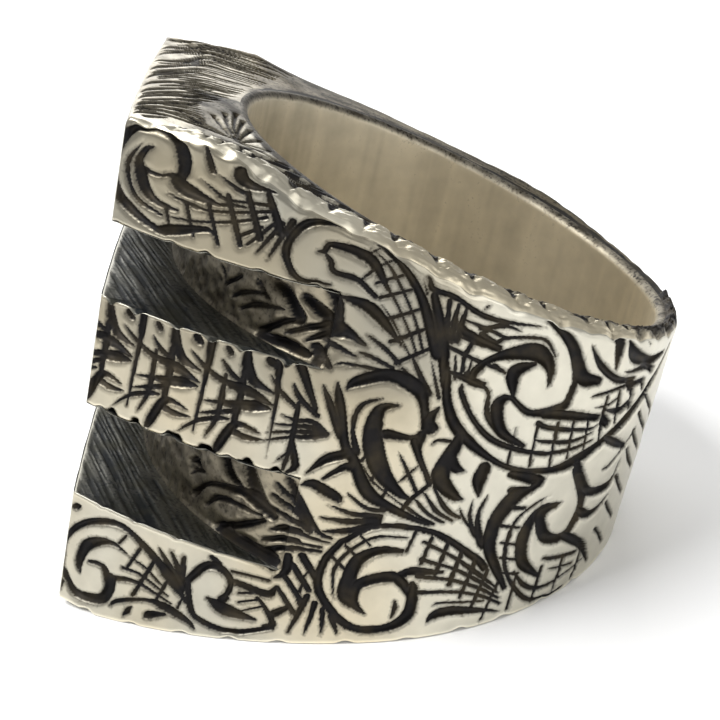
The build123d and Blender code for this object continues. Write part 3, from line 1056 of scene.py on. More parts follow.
    def edge_lift(self, s: Array, up: Array, low: Array, high: Array) -> tuple[Array, ...]:
        """Rolls the wall over at both rims and, in front, at the notch edges, and bites them.

        Args:
            s: arc length of each point.
            up: height of each point.
            low: height of the lower rim in each column.
            high: height of the upper rim in each column.

        Returns:
            Rise, sinking, darkness, and polish with painted highlight of each point.
        """
        sizes = self.sizes
        lift, sink, bitten, polish_and_highlight = (np.zeros_like(up) for _ in range(4))
        shoulder = sizes.shoulder(s, self.side)
        edges = [(low, 1, FOOT_BITES, sizes.edge_round, True), (high, -1, RIM_BITES, shoulder, True)]
        if self.side > 0:
            front = s <= sizes.floor_s + 1e-6
            for height, direction, bites in zip(NOTCH_HEIGHTS, (-1, 1, -1, 1), ARM_BITES):
                beyond = (up - height) * direction >= -1e-9
                edges.append((height, direction, bites, sizes.edge_round, front & beyond))
        for edge, direction, bites, roll, near in edges:
            gap = np.where(near, (up - edge) * direction, 9.0)
            move, drop = edge_roll(np.maximum(gap, 0), roll)
            ends = sizes.wall_ends(s)
            if edge is not low and edge is not high:
                ends = ends * sizes.arm_ends(s)
            dip = bites.at(s) * smoothstep(1 - gap / self.bite_reach) * ends
            lift, sink = lift + direction * (move + dip), sink + drop
            bitten = np.maximum(bitten, Bites.shade(dip))
            # Brighter along the edges: worn polish, and a painted highlight where the rounding catches
            # the light.
            if edge is not high:
                shine = smoothstep(1.2 - gap / self.polish_and_highlight_reach)
                polish_and_highlight = np.maximum(polish_and_highlight, self.edge_polish_and_highlight * shine)
        return lift, sink, bitten, polish_and_highlight

    def windows(self, s: Array, bands: Array) -> Array:
        """Cells that the two notches cut away.

        Args:
            s: arc length of each point.
            bands: band of each row of cells.

        Returns:
            Whether each cell is cut away.
        """
        middle = (s[:-1, :-1] + s[1:, 1:]) / 2
        notch = np.isin(bands, [band.value for band in NOTCHES])[:, None]
        return notch & (middle < self.sizes.floor_s)


@dataclass
class LetterFace:
    """Front of the head: the stem and the ends of the three arms, plain but for a border line."""

    sizes: RingSizes
    step: float
    border: float = 0.55
    border_width: float = 0.28
    border_depth: float = 0.12
    unevenness: float = 0.03

    def sheet(self) -> Sheet:
        """Slightly bowed face: its reach falls with the square of the distance from the middle.

        Returns:
            Its surface, without the notches' cells.
        """
        sizes = self.sizes
        half = sizes.corner_x
        stem = np.linspace(-half, sizes.stem_face, round(sizes.stem_width / self.step) + 2)
        arms = np.linspace(sizes.stem_face, half, int((half - sizes.stem_face) / self.step) + 2)
        columns = np.concatenate([stem[:-1], arms])
        marks = np.array([-sizes.head_foot, *NOTCH_HEIGHTS, sizes.head_top])
        rows, bands = [], []
        for band, (low, high) in enumerate(zip(marks[:-1], marks[1:])):
            count = max(4, int((high - low) / self.step))
            rows.append(low + (high - low) * np.arange(count) / count)
            bands += [band] * count
        up_line = np.concatenate(rows + [marks[-1:]])
        x, up = np.meshgrid(columns, up_line)
        off_line = np.abs(self.edge_distance(x, up) - self.border)
        line = smoothstep(1 - off_line / (0.5 * self.border_width))
        uneven = value_noise(x + 20, up + 20, 0.9, Noise.FACE)
        depth, dark = self.border_depth * line + self.unevenness * uneven, 0.85 * line
        roll = sizes.edge_round
        side_in, side_sink = edge_roll(half - np.abs(x), roll)
        top_in, top_sink = edge_roll(marks[-1] - up, sizes.shoulder_round)
        foot_in, foot_sink = edge_roll(up - marks[0], roll)
        sink = side_sink + top_sink + foot_sink
        y = -sizes.face_reach + sizes.face_bow * (x / half) ** 2 + depth + sink
        points = np.stack([x - np.sign(x) * side_in, y, up - top_in + foot_in], axis=-1)
        middle = (x[:-1, :-1] + x[1:, 1:]) / 2
        notch = np.isin(np.array(bands), [band.value for band in NOTCHES])[:, None]
        skip = notch & (middle > sizes.stem_face)
        return Sheet(points, dark, 0.5 * np.ones_like(dark), skip=skip)

    def edge_distance(self, x: Array, up: Array) -> Array:
        """Measures how far each point is from the nearest edge of the letter.

        Args:
            x: place of each point across the face.
            up: height of each point.

        Returns:
            Distance of each point.
        """
        sizes = self.sizes
        ends = np.minimum(up + sizes.head_foot, sizes.head_top - up)
        outer = np.minimum(sizes.corner_x - np.abs(x), ends)
        for base, top in (NOTCH_HEIGHTS[:2], NOTCH_HEIGHTS[2:]):
            sideways = np.maximum(sizes.stem_face - x, 0)
            away = np.hypot(sideways, np.maximum(np.maximum(base - up, up - top), 0))
            outer = np.minimum(outer, away)
        return outer


@dataclass
class Notch:
    """Gap between two arms: its curved floor, the stem's wall and the arms' two faces."""

    sizes: RingSizes
    base: float
    top: float
    step: float = 0.12
    slant: float = 0.42
    floor_depth_share: float = 1.6
    floor_roughness: float = 0.12
    scratch_depth: float = 0.035
    bite_reach: float = 0.9
    leaves_s: Blend = Blend(-7.4, 3.0)
    groove_noise: Blend = Blend(0.45, 0.2)
    floor_dark: float = 0.52
    leaves_light: float = 0.38
    ledge_dark: float = 0.6
    groove_dark: float = 0.16
    cloud_dark: float = 0.22
    bite_dark: float = 0.8

    def floor_y(self, x: Array) -> Array:
        """Depth of the floor: the front half of its circle."""
        return self.sizes.floor_center - np.sqrt(self.sizes.floor_radius**2 - x**2)

    def front_y(self, x: Array) -> Array:
        """Depth of the ring's front: the bowed letter face, then the cheek arc.

        Args:
            x: widths.

        Returns:
            Depth at each width.
        """
        sizes = self.sizes
        face = -sizes.face_reach + sizes.face_bow * (x / sizes.corner_x) ** 2
        reach = np.maximum(sizes.cheek_radius**2 - (x - sizes.cheek_center) ** 2, 0)
        return np.where(x < sizes.corner_x, face, sizes.shank_center - np.sqrt(reach))

    def end_x(self) -> float:
        """Width at which the floor runs out through the cheek."""
        x, _ = self.sizes.plan(np.array([self.sizes.floor_s]))
        return float(x[0])

    def columns(self) -> Array:
        """Widths from the stem to the floor's end, with one at the front corner.

        Returns:
            The widths, twice as close along the cheek.
        """
        stem, corner, end = self.sizes.stem_face, self.sizes.corner_x, self.end_x()
        front = np.linspace(stem, corner, int((corner - stem) / self.step))
        cheek = np.linspace(corner, end, int((end - corner) / (self.step / 2)))
        return np.concatenate([front[:-1], cheek])

    def cheek_s(self, x: Array, y: Array) -> Array:
        """Arc length of the cheek point that lies straight outside each point."""
        turn = np.arctan2(y - self.sizes.shank_center, x - self.sizes.cheek_center)
        return self.sizes.cheek_radius * turn

    def floor(self, pattern: Motif, graver: Graver) -> Sheet:
        """Curved floor: plain near the stem, carved with the cheek's leaves where it runs out.

        Args:
            pattern: cuts that run on to the floor.
            graver: tool that makes them.

        Returns:
            Its surface.
        """
        sizes, end = self.sizes, self.end_x()
        plain_end, fine = 4.0, 0.07
        plain = np.arange(sizes.stem_face, plain_end, 0.24)
        x = np.concatenate([plain, np.arange(plain_end, end, fine), [end]])
        up = np.linspace(self.base, self.top, int((self.top - self.base) / fine) + 1)
        x, up = np.meshgrid(x, up)
        y = self.floor_y(x)
        angle = np.arctan2(y - sizes.floor_center, x)
        s = self.cheek_s(x, y)
        behind = sizes.plan(s)[0] - x
        depth, cut = graver.carve(s, up + self.slant * behind, pattern.cuts)
        rise = self.leaves_s.at(s)
        edge = smoothstep(np.minimum(up - self.base, self.top - up) / 0.2)
        rough = value_noise(s, up, 0.35, Noise.FLOOR)
        sink = self.floor_depth_share * depth + self.floor_roughness * rough * (1 - rise)
        sink *= edge
        ground = self.floor_dark - self.leaves_light * rise + self.cloud_dark * (rough - 0.5)
        dark = np.maximum(cut, ground)
        away = np.hypot(end - x, y - self.floor_y(np.array(end)))
        sink *= 1 - sizes.crease(away, up, sizes.crease_bare)
        eased = sizes.crease_sink * sizes.crease(away, up, sizes.crease_reach)
        out_x, out_y = sizes.plan_normal(np.array(sizes.floor_s))
        plan_x = x - sink * np.cos(angle) - eased * out_x
        plan_y = y - sink * np.sin(angle) - eased * out_y
        return Sheet(np.stack([plan_x, plan_y, up], axis=-1), dark, np.full_like(x, 0.6))

    def stem_wall(self) -> Sheet:
        """Flat wall of the stem inside the notch.

        Returns:
            Its surface.
        """
        start = float(self.floor_y(np.array(self.sizes.stem_face)))
        end = float(self.front_y(np.array(self.sizes.stem_face)))
        y, up = np.meshgrid(np.linspace(end, start, 24), np.linspace(self.base, self.top, 30))
        points = np.stack([np.full_like(y, self.sizes.stem_face), y, up], axis=-1)
        return Sheet(points, np.full_like(y, 0.8), np.zeros_like(y))

    def ledge(self, height: float, upward: bool, bites: Bites) -> Sheet:
        """Face of an arm: straight runs from the floor out to the front, scratched lengthways.

        Args:
            height: height of the face.
            upward: whether the face looks up.
            bites: file bites along its outer edge.

        Returns:
            Its surface.
        """
        x = self.columns()
        share = (1 - (1 - np.linspace(0, 1, 70)) ** 1.5)[:, None]
        front = self.front_y(x)
        y = self.floor_y(x) * (1 - share) + front * share
        x = np.broadcast_to(x, y.shape)
        gap = np.abs(y - front)
        inward, sink = edge_roll(gap, self.sizes.edge_round)
        s = self.cheek_s(x, np.broadcast_to(front, y.shape))
        ends = Blend(self.sizes.corner_s, self.sizes.end_fade).at(s) * self.sizes.arm_ends(s)
        dip = bites.at(s) * smoothstep(1 - gap / self.bite_reach) * ends
        dip = dip * (x > self.sizes.corner_x)
        lengthways, sideways = 0.93, 0.37
        run, across = lengthways * x + sideways * y, lengthways * y - sideways * x
        streak = value_noise(0.5 * run, 2 * across, 1.0, Noise.LEDGE_STREAKS)
        fine = value_noise(0.35 * run, 13 * across, 1.0, Noise.LEDGE_GROOVES)
        groove = self.groove_noise.at(fine) * smoothstep(gap / 0.4) * smoothstep(share / 0.1)
        drop = sink + dip + self.scratch_depth * groove
        up = height - drop if upward else height + drop
        points = np.stack([x, y + inward, up], axis=-1)
        dark = self.ledge_dark + self.groove_dark * groove + self.cloud_dark * (streak - 0.5)
        # Painted shade in the file bites.
        bitten = self.bite_dark * dip / ARM_BITES[1].depth
        dark = dark * (1 - smoothstep(1 - gap / 0.3)) + bitten
        return Sheet(points, dark, np.zeros_like(y), flip=upward)


class Strand(NamedTuple):
    """One leading stroke over the head: its x at four steps of its run, and the y where it ends."""

    front_x: float
    early_x: float
    late_x: float
    end_x: float
    end_y: float


STRAND_STEPS = (0, 0.3, 0.6, 1)
STRAND_DEPTHS = (-14.6, -13.4, -12.3)
HEAD_STRANDS = (
    Strand(-7.2, -8.4, -9.1, -10.0, -8.0),
    Strand(-5.0, -7.2, -8.6, -9.2, -8.3),
    Strand(-3.5, -6.2, -7.7, -8.3, -8.7),
    Strand(-2.1, -3.6, -6.7, -7.4, -8.9),
    Strand(-0.4, -2.9, -5.0, -6.2, -9.3),
    Strand(1.5, -1.5, -3.0, -4.0, -10.0),
    Strand(2.9, 0.4, -0.9, -1.8, -10.5),
    Strand(4.2, 1.8, 0.2, -0.6, -10.7),
    Strand(5.3, 3.0, 1.8, 0.9, -11.3),
    Strand(6.4, 4.4, 3.2, 2.6, -11.9),
    Strand(7.0, 5.2, 4.6, 4.9, -11.2),
    Strand(7.3, 5.6, 5.3, 6.0, -10.7),
    Strand(7.9, 6.4, 6.1, 6.1, -10.5),
)

PALMETTE_ROOT = (6.4, -10.2)
PALMETTE_TIPS = (
    (3.7, -11.4),
    (2.7, -10.95),
    (2.1, -10.5),
    (2.9, -10.15),
    (3.9, -9.8),
    (4.9, -9.4),
    (5.8, -9.0),
    (6.6, -8.7),
)
PALMETTE_STRANDS = (8.5, 10.9)
LONE_CUTS = (
    ((7.3, -11.55), (9.6, -11.4)),
    ((7.2, -10.3), (10.2, -10.1)),
    ((6.6, -13.1), (7.6, -13.9)),
)


class Look(NamedTuple):
    """One region's part in the upper rim's colour: a dark wash, oxide on the head and the blades and
    painted shade on the far side, its clouds, a dulling of painted shade, and warmth.
    """

    wash: float = 0.0
    clouds: float = 0.0
    dulling: float = 0.0
    warmth: float = 0.0


# Painted shade darkens the head, the far side and the near shank against their highlights; the far
# side's wash is painted shade too, the head's and the blades' are oxide.
HEAD_LOOK = Look(wash=0.17, clouds=0.28, dulling=1.2, warmth=0.35)
FAR_LOOK = Look(wash=0.42, clouds=0.3, dulling=1.3, warmth=0.9)
SHANK_LOOK = Look(dulling=0.6, warmth=0.35)
BLADES_LOOK = Look(wash=0.3)


@dataclass
class Rims:
    """Upper collar between the outline and the bore, the lower rim and the bore's wall."""

    sizes: RingSizes
    count: int = 900
    lump_pitch: float = 1.65
    lump_height: float = 0.19
    crumb_height: float = 0.16
    crumb_cell: float = 0.28
    lump_slant: float = 0.9
    lump_shuffle: float = 0.9
    plain_tone: float = 1.5
    plain_warmth: float = 0.2
    # Painted shade darkens the front of the near rim against its highlight.
    front_shading: float = 0.8
    bite_reach: float = 0.8
    far_bites: float = 0.3
    head_x: Blend = Blend(8.2, -1.5)
    head_y: Blend = Blend(-9.2, -1.5)
    far_x: Blend = Blend(2.0, -4.0)
    shank_s: Blend = Blend(-5.0, 3.0)
    # Where that painted shade falls along the rim.
    shade_s: Blend = Blend(-4.5, -3.0)
    blades_s: Blend = Blend(-5.5, -2.0)
    blades_share: Blend = Blend(0.4, 0.2)
    lumps_s: Blend = Blend(-13.5, 1.5)
    gaps_share: Blend = Blend(0.2, 0.3)
    open_leaf: tuple[float, float] = (4.6, -10.1)
    open_leaf_reach: float = 1.6
    # Width of the painted shade line along the far outline.
    far_line: float = 0.35

    def outline(self) -> tuple[Array, Array, Array]:
        """Plan round the ring, counter-clockwise from the near front corner.

        Returns:
            Rows of x, y; rows of the outward direction; arc length along the wall, or nan in front.
        """
        sizes = self.sizes
        near = np.linspace(sizes.corner_s, sizes.back_s, self.count // 2)
        side = np.stack(sizes.plan(near), axis=1)
        out = np.stack(sizes.plan_normal(near), axis=1)
        face_x = np.linspace(-sizes.corner_x, sizes.corner_x, self.count // 3)[1:-1]
        face_y = -sizes.face_reach + sizes.face_bow * (face_x / sizes.corner_x) ** 2
        face_out = np.stack([0 * face_x, -np.ones_like(face_x)], axis=1)
        plan = np.vstack([side, side[::-1][1:] * [-1, 1], np.stack([face_x, face_y], axis=1)])
        outward = np.vstack([out, out[::-1][1:] * [-1, 1], face_out])
        run = np.concatenate([near, near[::-1][1:], np.full(face_x.size, np.nan)])
        return plan, outward, run

    def annulus(self, upper: bool, rows: int) -> Sheet:
        """Rim surface: straight runs from each outline point to the bore edge at the same angle.

        Args:
            upper: whether it is the upper rim.
            rows: number of points on each run.

        Returns:
            Its surface.
        """
        sizes = self.sizes
        outer, outward, run = self.outline()
        angle = np.arctan2(outer[:, 1], outer[:, 0])
        bore_edge = sizes.bore_radius + sizes.bore_round
        edge = bore_edge * np.stack([np.cos(angle), np.sin(angle)], axis=1)
        share = np.linspace(0, 1, rows)[:, None]
        plan = outer * (1 - share[..., None]) + edge * share[..., None]
        near = outer[:, 0] > 0
        length = np.nan_to_num(run, nan=sizes.corner_s)
        gap = np.hypot(*np.moveaxis(plan - outer, -1, 0))
        if upper:
            roll = np.where(near, sizes.shoulder(length, 1), sizes.shoulder(length, -1))
            start, end = sizes.top(outer[:, 1], outer[:, 0]), sizes.collar(edge[:, 1])
        else:
            roll = sizes.edge_round
            start, end = sizes.foot(outer[:, 1]), sizes.bore_foot(edge[:, 1])
        bites = RIM_BITES if upper else FOOT_BITES
        inward, sink = edge_roll(gap, roll)
        ends = np.nan_to_num(sizes.wall_ends(run))
        dip = np.where(np.isnan(run), 0, bites.at(np.nan_to_num(run)) * ends)
        dip = dip * smoothstep(1 - gap / self.bite_reach) * np.where(near, 1.0, self.far_bites)
        up = start * (1 - share) + end * share
        dark, tone, warm = np.zeros_like(up), np.full_like(up, 0.6), np.zeros_like(up)
        if upper:
            left = np.hypot(*np.moveaxis(edge - plan, -1, 0))
            carved, swell, dark, tone, warm = self.collar_look(plan, share, length, gap, left)
            sink = sink + carved - swell
            dark = np.maximum(dark, Bites.shade(dip))
        drop = sink + dip
        plan = plan - outward * inward[..., None]
        height = up - drop if upper else up + drop
        points = np.concatenate([plan, height[..., None]], axis=-1)
        return Sheet(points, dark, tone, warm, flip=not upper, closed=True)

    def collar_look(
        self, plan: Array, share: Array, length: Array, gap: Array, left: Array
    ) -> tuple[Array, ...]:
        """Carving, lumps and finish of the upper rim.

        The head is washed dark with oxide and painted shade and the far side with painted shade,
        both warm; the near shank is left bright, with some painted shade against highlights and a
        dark line of painted shade along the bore, and one leaf of the palmette lies open and bright.

        Args:
            plan: x and y of each point.
            share: how far each row is from the outline to the bore.
            length: arc length of each column.
            gap: distance of each point to the outline.
            left: distance of each point to the bore edge.

        Returns:
            Depth, swell, darkness, tone and warmth of each point.
        """
        x, y = plan[..., 0], plan[..., 1]
        near = x > 0
        depth, cut = self.collar_carving(plan, share)
        swell, gaps = self.lumps(length, share)
        head = self.head_y.at(y) * self.head_x.at(x)
        far = self.far_x.at(x) * (1 - head)
        shank = self.shank_s.at(length) * near
        beside = self.blades_share.at(share) * self.blades_s.at(length) * near
        leaf_x, leaf_y = self.open_leaf
        open_leaf = smoothstep(1.6 - np.hypot(x - leaf_x, y - leaf_y) / self.open_leaf_reach)
        cloud = value_noise(x + 20, y + 20, 0.8, Noise.RIM_CLOUDS)
        streak = value_noise(0.2 * length + 20, 7 * share, 1.0, Noise.RIM_STREAKS)
        # Painted shade: a dark line along the bore edge, wider along the shank, and along the far
        # outline, muting their highlights.
        edge_line = smoothstep(1.5 - left / ((0.2 + 0.3 * cloud) * (1 + 1.2 * shank)))
        edge_line = np.minimum(edge_line + far * smoothstep(1 - gap / self.far_line), 1)
        wash = (HEAD_LOOK.wash + HEAD_LOOK.clouds * cloud) * head * (1 - 0.6 * open_leaf)
        wash = wash + (FAR_LOOK.wash + FAR_LOOK.clouds * streak) * far + BLADES_LOOK.wash * beside
        dark = np.maximum.reduce([cut, wash, gaps * near, (0.8 - 0.5 * head) * edge_line])
        # Painted shade lowers the tone on the head, the far side, the front of the near rim and the
        # shank.
        tone = self.plain_tone - HEAD_LOOK.dulling * head * (1 - 0.5 * open_leaf)
        tone = tone - FAR_LOOK.dulling * far
        tone = tone - self.front_shading * self.shade_s.at(length) - SHANK_LOOK.dulling * shank
        warm = FAR_LOOK.warmth * far + HEAD_LOOK.warmth * head
        warm = warm + self.plain_warmth + SHANK_LOOK.warmth * shank
        return depth, swell * near, dark, tone, warm

    def across(self, s: float, share: float) -> Array:
        """Plan of a point on the straight run from the near wall to the bore edge.

        Args:
            s: arc length at which the run starts.
            share: how far along the run the point is.

        Returns:
            x and y of the point.
        """
        wall = np.array([float(value) for value in self.sizes.plan(np.array(s))])
        edge = wall * (self.sizes.bore_radius + self.sizes.bore_round) / np.hypot(*wall)
        return wall * (1 - share) + edge * share

    def lumps(self, s: Array, share: Array) -> tuple[Array, Array]:
        """Row of worn lumps along the near rim, parted by thin slanting gaps.

        The swell is a half sine across the rim times the square root of a half sine along it.

        Args:
            s: arc length of each column.
            share: how far each row is from the outline to the bore.

        Returns:
            Swell in millimetres and darkness of each point.
        """
        shuffle = value_noise(s + 20, 0 * s, 1.9, Noise.NUGGET_SHIFT)
        phase = s + self.lump_slant * share + self.lump_shuffle * shuffle
        lump = np.abs(np.sin(np.pi * phase / self.lump_pitch))
        reach = self.lumps_s.at(s)
        span = np.interp(s, [-12.0, -6.5, -3.5], [0.3, 0.45, 1.0])
        share = np.minimum(share / span, 1.0)
        crumbs = value_noise(s + 20, 4 * share, self.crumb_cell, Noise.NUGGET_CRUMBS)
        swell = self.lump_height * np.sqrt(lump) + self.crumb_height * crumbs
        gaps = 0.95 * smoothstep((0.75 * share - lump) / 0.25 + 0.5)
        return swell * np.sin(np.pi * share) * reach, gaps * self.gaps_share.at(share) * reach

    def blades(self, draw: np.random.Generator) -> list[Array]:
        """Long dark strokes beside the head that drift from the wall's edge to the bore edge.

        Args:
            draw: source of the random lengths and widths.

        Returns:
            Rows of x, y and width for each stroke.
        """
        cuts = []
        for start in np.arange(-13.6, -6.2, 0.55):
            length, width = draw.uniform(2.2, 3.0), draw.uniform(0.24, 0.46)
            steps = ((0.0, 0.2), (0.35, 0.9), (0.7, 1.0), (1.0, 0.5))
            rows = [[*self.across(start + length * k, 0.34 + 0.6 * k), width * w] for k, w in steps]
            cuts.append(np.array(rows))
        return cuts

    def strands(self, draw: np.random.Generator) -> list[Array]:
        """Hair-like strokes over the head, blended between the leading ones of HEAD_STRANDS.

        Those beside the palmette stop short of it.

        Args:
            draw: source of the random ends, widths and wander.

        Returns:
            Rows of x, y and width for each stroke.
        """
        cuts = []
        rows = np.array(HEAD_STRANDS)
        taper = np.array([0.6, 1.0, 0.8, 1.1, 0.9, 0.4])
        for place in np.arange(0, len(rows) - 1 + 0.01, 0.2):
            leading = abs(place - round(place)) < 0.01
            *places, end = [np.interp(place, range(len(rows)), column) for column in rows.T]
            first, last = (0.0, 1.0) if leading else (draw.uniform(0, 0.5), draw.uniform(0.7, 1.1))
            last = min(last, 0.8) if PALMETTE_STRANDS[0] < place < PALMETTE_STRANDS[1] else last
            shares = np.linspace(first, last, len(taper))
            width = draw.uniform(0.16, 0.22) if leading else draw.uniform(0.09, 0.16)
            wander = draw.uniform(-0.09, 0.09, len(taper))
            along = np.interp(shares, STRAND_STEPS, places) + wander
            up = np.interp(shares, STRAND_STEPS, [*STRAND_DEPTHS, end])
            cuts.append(np.stack([along, up, width * taper], axis=1))
        return cuts

    @staticmethod
    def rib(root: tuple[float, float], tip: tuple[float, float], bow: float, width: float) -> Array:
        """Cut from a root out to a tip, bowed to one side and widest at its tip.

        Args:
            root: x and y where the cut starts.
            tip: x and y where it ends.
            bow: its sideways bow as a share of its length.
            width: its usual width.

        Returns:
            Three rows of x, y and width.
        """
        start, end = np.array(root), np.array(tip)
        side = np.array([-(end - start)[1], (end - start)[0]]) * bow
        middle = (start + end) / 2 + side
        steps = ((start, 0.5 * width), (middle, 0.8 * width), (end, 1.2 * width))
        return np.array([[*place, w] for place, w in steps])

    def collar_carving(self, plan: Array, share: Array) -> tuple[Array, Array]:
        """Hair-like strands and a palmette over the head, and blades beside it.

        Args:
            plan: x and y of each point of the rim.
            share: how far each row is from the outline to the bore.

        Returns:
            Depth and darkness of each point.
        """
        draw = np.random.default_rng(SEED)
        cuts = self.blades(draw) + self.strands(draw)
        cuts += [self.rib(PALMETTE_ROOT, tip, 0.03, 0.19) for tip in PALMETTE_TIPS]
        cuts += [self.rib(start, end, 0.02, 0.17) for start, end in LONE_CUTS]
        depth, dark = Graver().carve(plan[..., 0], plan[..., 1], cuts)
        fade = smoothstep(share / 0.08) * smoothstep((1 - share) / 0.04)
        return depth * fade, 0.8 * dark * smoothstep(share / 0.05)

    def bore(self) -> Sheet:
        """Finger bore: a plain cylinder with a quarter round at both edges.

        Returns:
            Its surface.
        """
        sizes = self.sizes
        plan, _, _ = self.outline()
        angle = np.arctan2(plan[:, 1], plan[:, 0])
        turn = np.radians(np.linspace(0, 90, 9))[:, None]
        radius_in = sizes.bore_radius + sizes.bore_round * (1 - np.sin(turn))
        fall = sizes.bore_round * (1 - np.cos(turn))
        y_edge = (sizes.bore_radius + sizes.bore_round) * np.sin(angle)
        high = sizes.collar(y_edge) - fall
        low = sizes.bore_foot(y_edge) + fall
        share = np.linspace(0, 1, 60)[1:-1, None]
        middle = high[-1] * (1 - share) + low[-1] * share
        up = np.vstack([high, middle, low[::-1]])
        radius = np.vstack([radius_in, np.full((len(middle), 1), sizes.bore_radius), radius_in[::-1]])
        points = np.stack([radius * np.cos(angle), radius * np.sin(angle), up], axis=-1)
        around = np.broadcast_to(angle * radius, up.shape)
        # Streaks up the bore: part brushed satin, part painted reflection.
        broad = value_noise(1.1 * around, 0.12 * up, 1.0, Noise.BORE_BROAD)
        fine = value_noise(4 * around, 0.3 * up, 1.0, Noise.BORE_FINE)
        streaks = 0.6 * broad + 0.4 * fine
        # Painted shade below the upper bore edge, muting its highlight.
        edge_line = 0.56 * smoothstep(1.2 - (sizes.collar(y_edge) - up) / 0.4)
        # Painted light: the bore is lighter towards the back.
        tone = 0.45 + 0.4 * np.sin(angle) + 0.45 * streaks
        return Sheet(points, 0.04 + 0.10 * streaks + edge_line, tone, closed=True)


# FINISHES


@dataclass(frozen=True)
class Silver:
    """Tumbled silver with blackened recesses; the colours are linear."""

    name: str
    bright: tuple[float, float, float] = (0.89, 0.852, 0.716)
    black: tuple[float, float, float] = (0.036, 0.030, 0.021)
    roughness: float = 0.34
    recess_roughness: float = 0.6
    shaded_share: float = 0.385
    cloud_share: float = 0.7
    tone_span: tuple[float, float] = (0.35, 2.08)
    brown_share: float = 1.6
    blue_shares: tuple[float, float, float] = (0.7, 0.8, 1.15)
    brown_span: tuple[float, float] = (0.42, 0.68)
    tint: tuple[float, float, float, float] = (1.0, 0.88, 0.68, 1)
    scratch_scale: float = 1400.0
    scratch_strength: float = 0.25
    scratch_metres: float = 0.00004


CARVED = Silver("carved_silver")
BLACKENED = Silver("blackened_recess", (0.70, 0.675, 0.567), (0.034, 0.033, 0.025))
BROWNED = Silver("browned_recess", (0.51, 0.45, 0.33))
SATIN = Silver("satin_bore", (1.0, 0.90, 0.69), roughness=0.5)


Input = bpy.types.NodeSocket | float | tuple


class Nodes:
    """Short hand for building a node tree."""

    def __init__(self, tree: bpy.types.NodeTree) -> None:
        """Keeps the tree that the nodes go into."""
        self.tree = tree

    def add(self, kind: str, inputs: dict | None = None, **settings: object) -> bpy.types.Node:
        """Adds a node, sets its properties and its inputs by values or links.

        Args:
            kind: type name of the node.
            inputs: value or source socket for each named input.
            settings: properties of the node.

        Returns:
            The new node.
        """
        node = self.tree.nodes.new(kind)
        for key, value in settings.items():
            setattr(node, key, value)
        for key, value in (inputs or {}).items():
            if isinstance(value, bpy.types.NodeSocket):
                self.link(value, node.inputs[key])
            else:
                node.inputs[key].default_value = value
        return node

    def link(self, source: bpy.types.NodeSocket, target: bpy.types.NodeSocket) -> None:
        """Joins two sockets."""
        self.tree.links.new(source, target)

    def attribute(self, name: str) -> bpy.types.NodeSocket:
        """Value of a named attribute of the mesh."""
        return self.add("ShaderNodeAttribute", attribute_name=name).outputs["Fac"]

    def noise(self, place: Input, scale: Input, detail: float) -> bpy.types.NodeSocket:
        """Noise at a place, with so many cells to the metre."""
        inputs = {"Vector": place, "Scale": scale, "Detail": detail}
        return self.add("ShaderNodeTexNoise", inputs).outputs["Fac"]

    def math(self, operation: str, *values: Input) -> bpy.types.NodeSocket:
        """Sum, product or other operation on its values."""
        return self.add("ShaderNodeMath", dict(enumerate(values)), operation=operation).outputs[0]

    def ramp(
        self, value: Input, start: float, end: float, low: float = 0.0, high: float = 1.0
    ) -> bpy.types.NodeSocket:
        """Runs from low to high while the value runs from start to end, and no further."""
        ends = {"From Min": start, "From Max": end, "To Min": low, "To Max": high}
        return self.add("ShaderNodeMapRange", {"Value": value, **ends}).outputs["Result"]

    def mix(self, share: Input, first: Input, second: Input, **settings: str) -> bpy.types.NodeSocket:
        """Colour between two colours."""
        inputs = {0: share, 6: first, 7: second}
        return self.add("ShaderNodeMix", inputs, data_type="RGBA", **settings).outputs[2]


def patina_and_shade_group() -> bpy.types.NodeTree:
    """Effect shared by every finish: a broken-edged mask of tarnish and painted shade, a cloud and a
    fine worn height.

    The mask is the amount of tarnish and painted shade pushed up or down by cloudy noise, plus
    fine specks. Height is fine noise.

    Returns:
        The node group.
    """
    group = bpy.data.node_groups.new("silver_patina_and_shade", "ShaderNodeTree")
    for name, kind in (("Vector", "Vector"), ("Oxide_and_shade", "Float"), ("Scale", "Float")):
        group.interface.new_socket(name, in_out="INPUT", socket_type="NodeSocket" + kind)
    for name in ("Mask", "Cloud", "Height"):
        group.interface.new_socket(name, in_out="OUTPUT", socket_type="NodeSocketFloat")
    nodes = Nodes(group)
    start = nodes.add("NodeGroupInput")
    end = nodes.add("NodeGroupOutput")
    place = start.outputs["Vector"]
    cloud_scale, pit_scale, push, most_speck = 900.0, 6000.0, 0.55, 0.22
    cloud = nodes.noise(place, cloud_scale, detail=4.0)
    fine = nodes.noise(place, start.outputs["Scale"], detail=5.0)
    pits = nodes.noise(place, pit_scale, detail=2.0)
    shift = nodes.math("SUBTRACT", cloud, 0.5)
    pushed = nodes.math("MULTIPLY_ADD", shift, push, start.outputs["Oxide_and_shade"])
    speck = nodes.ramp(pits, start=0.5, end=0.8, high=most_speck)
    mask = nodes.ramp(nodes.math("ADD", pushed, speck), start=0.25, end=0.75)
    for name, source in (("Mask", mask), ("Cloud", cloud), ("Height", fine)):
        nodes.link(source, end.inputs[name])
    return group


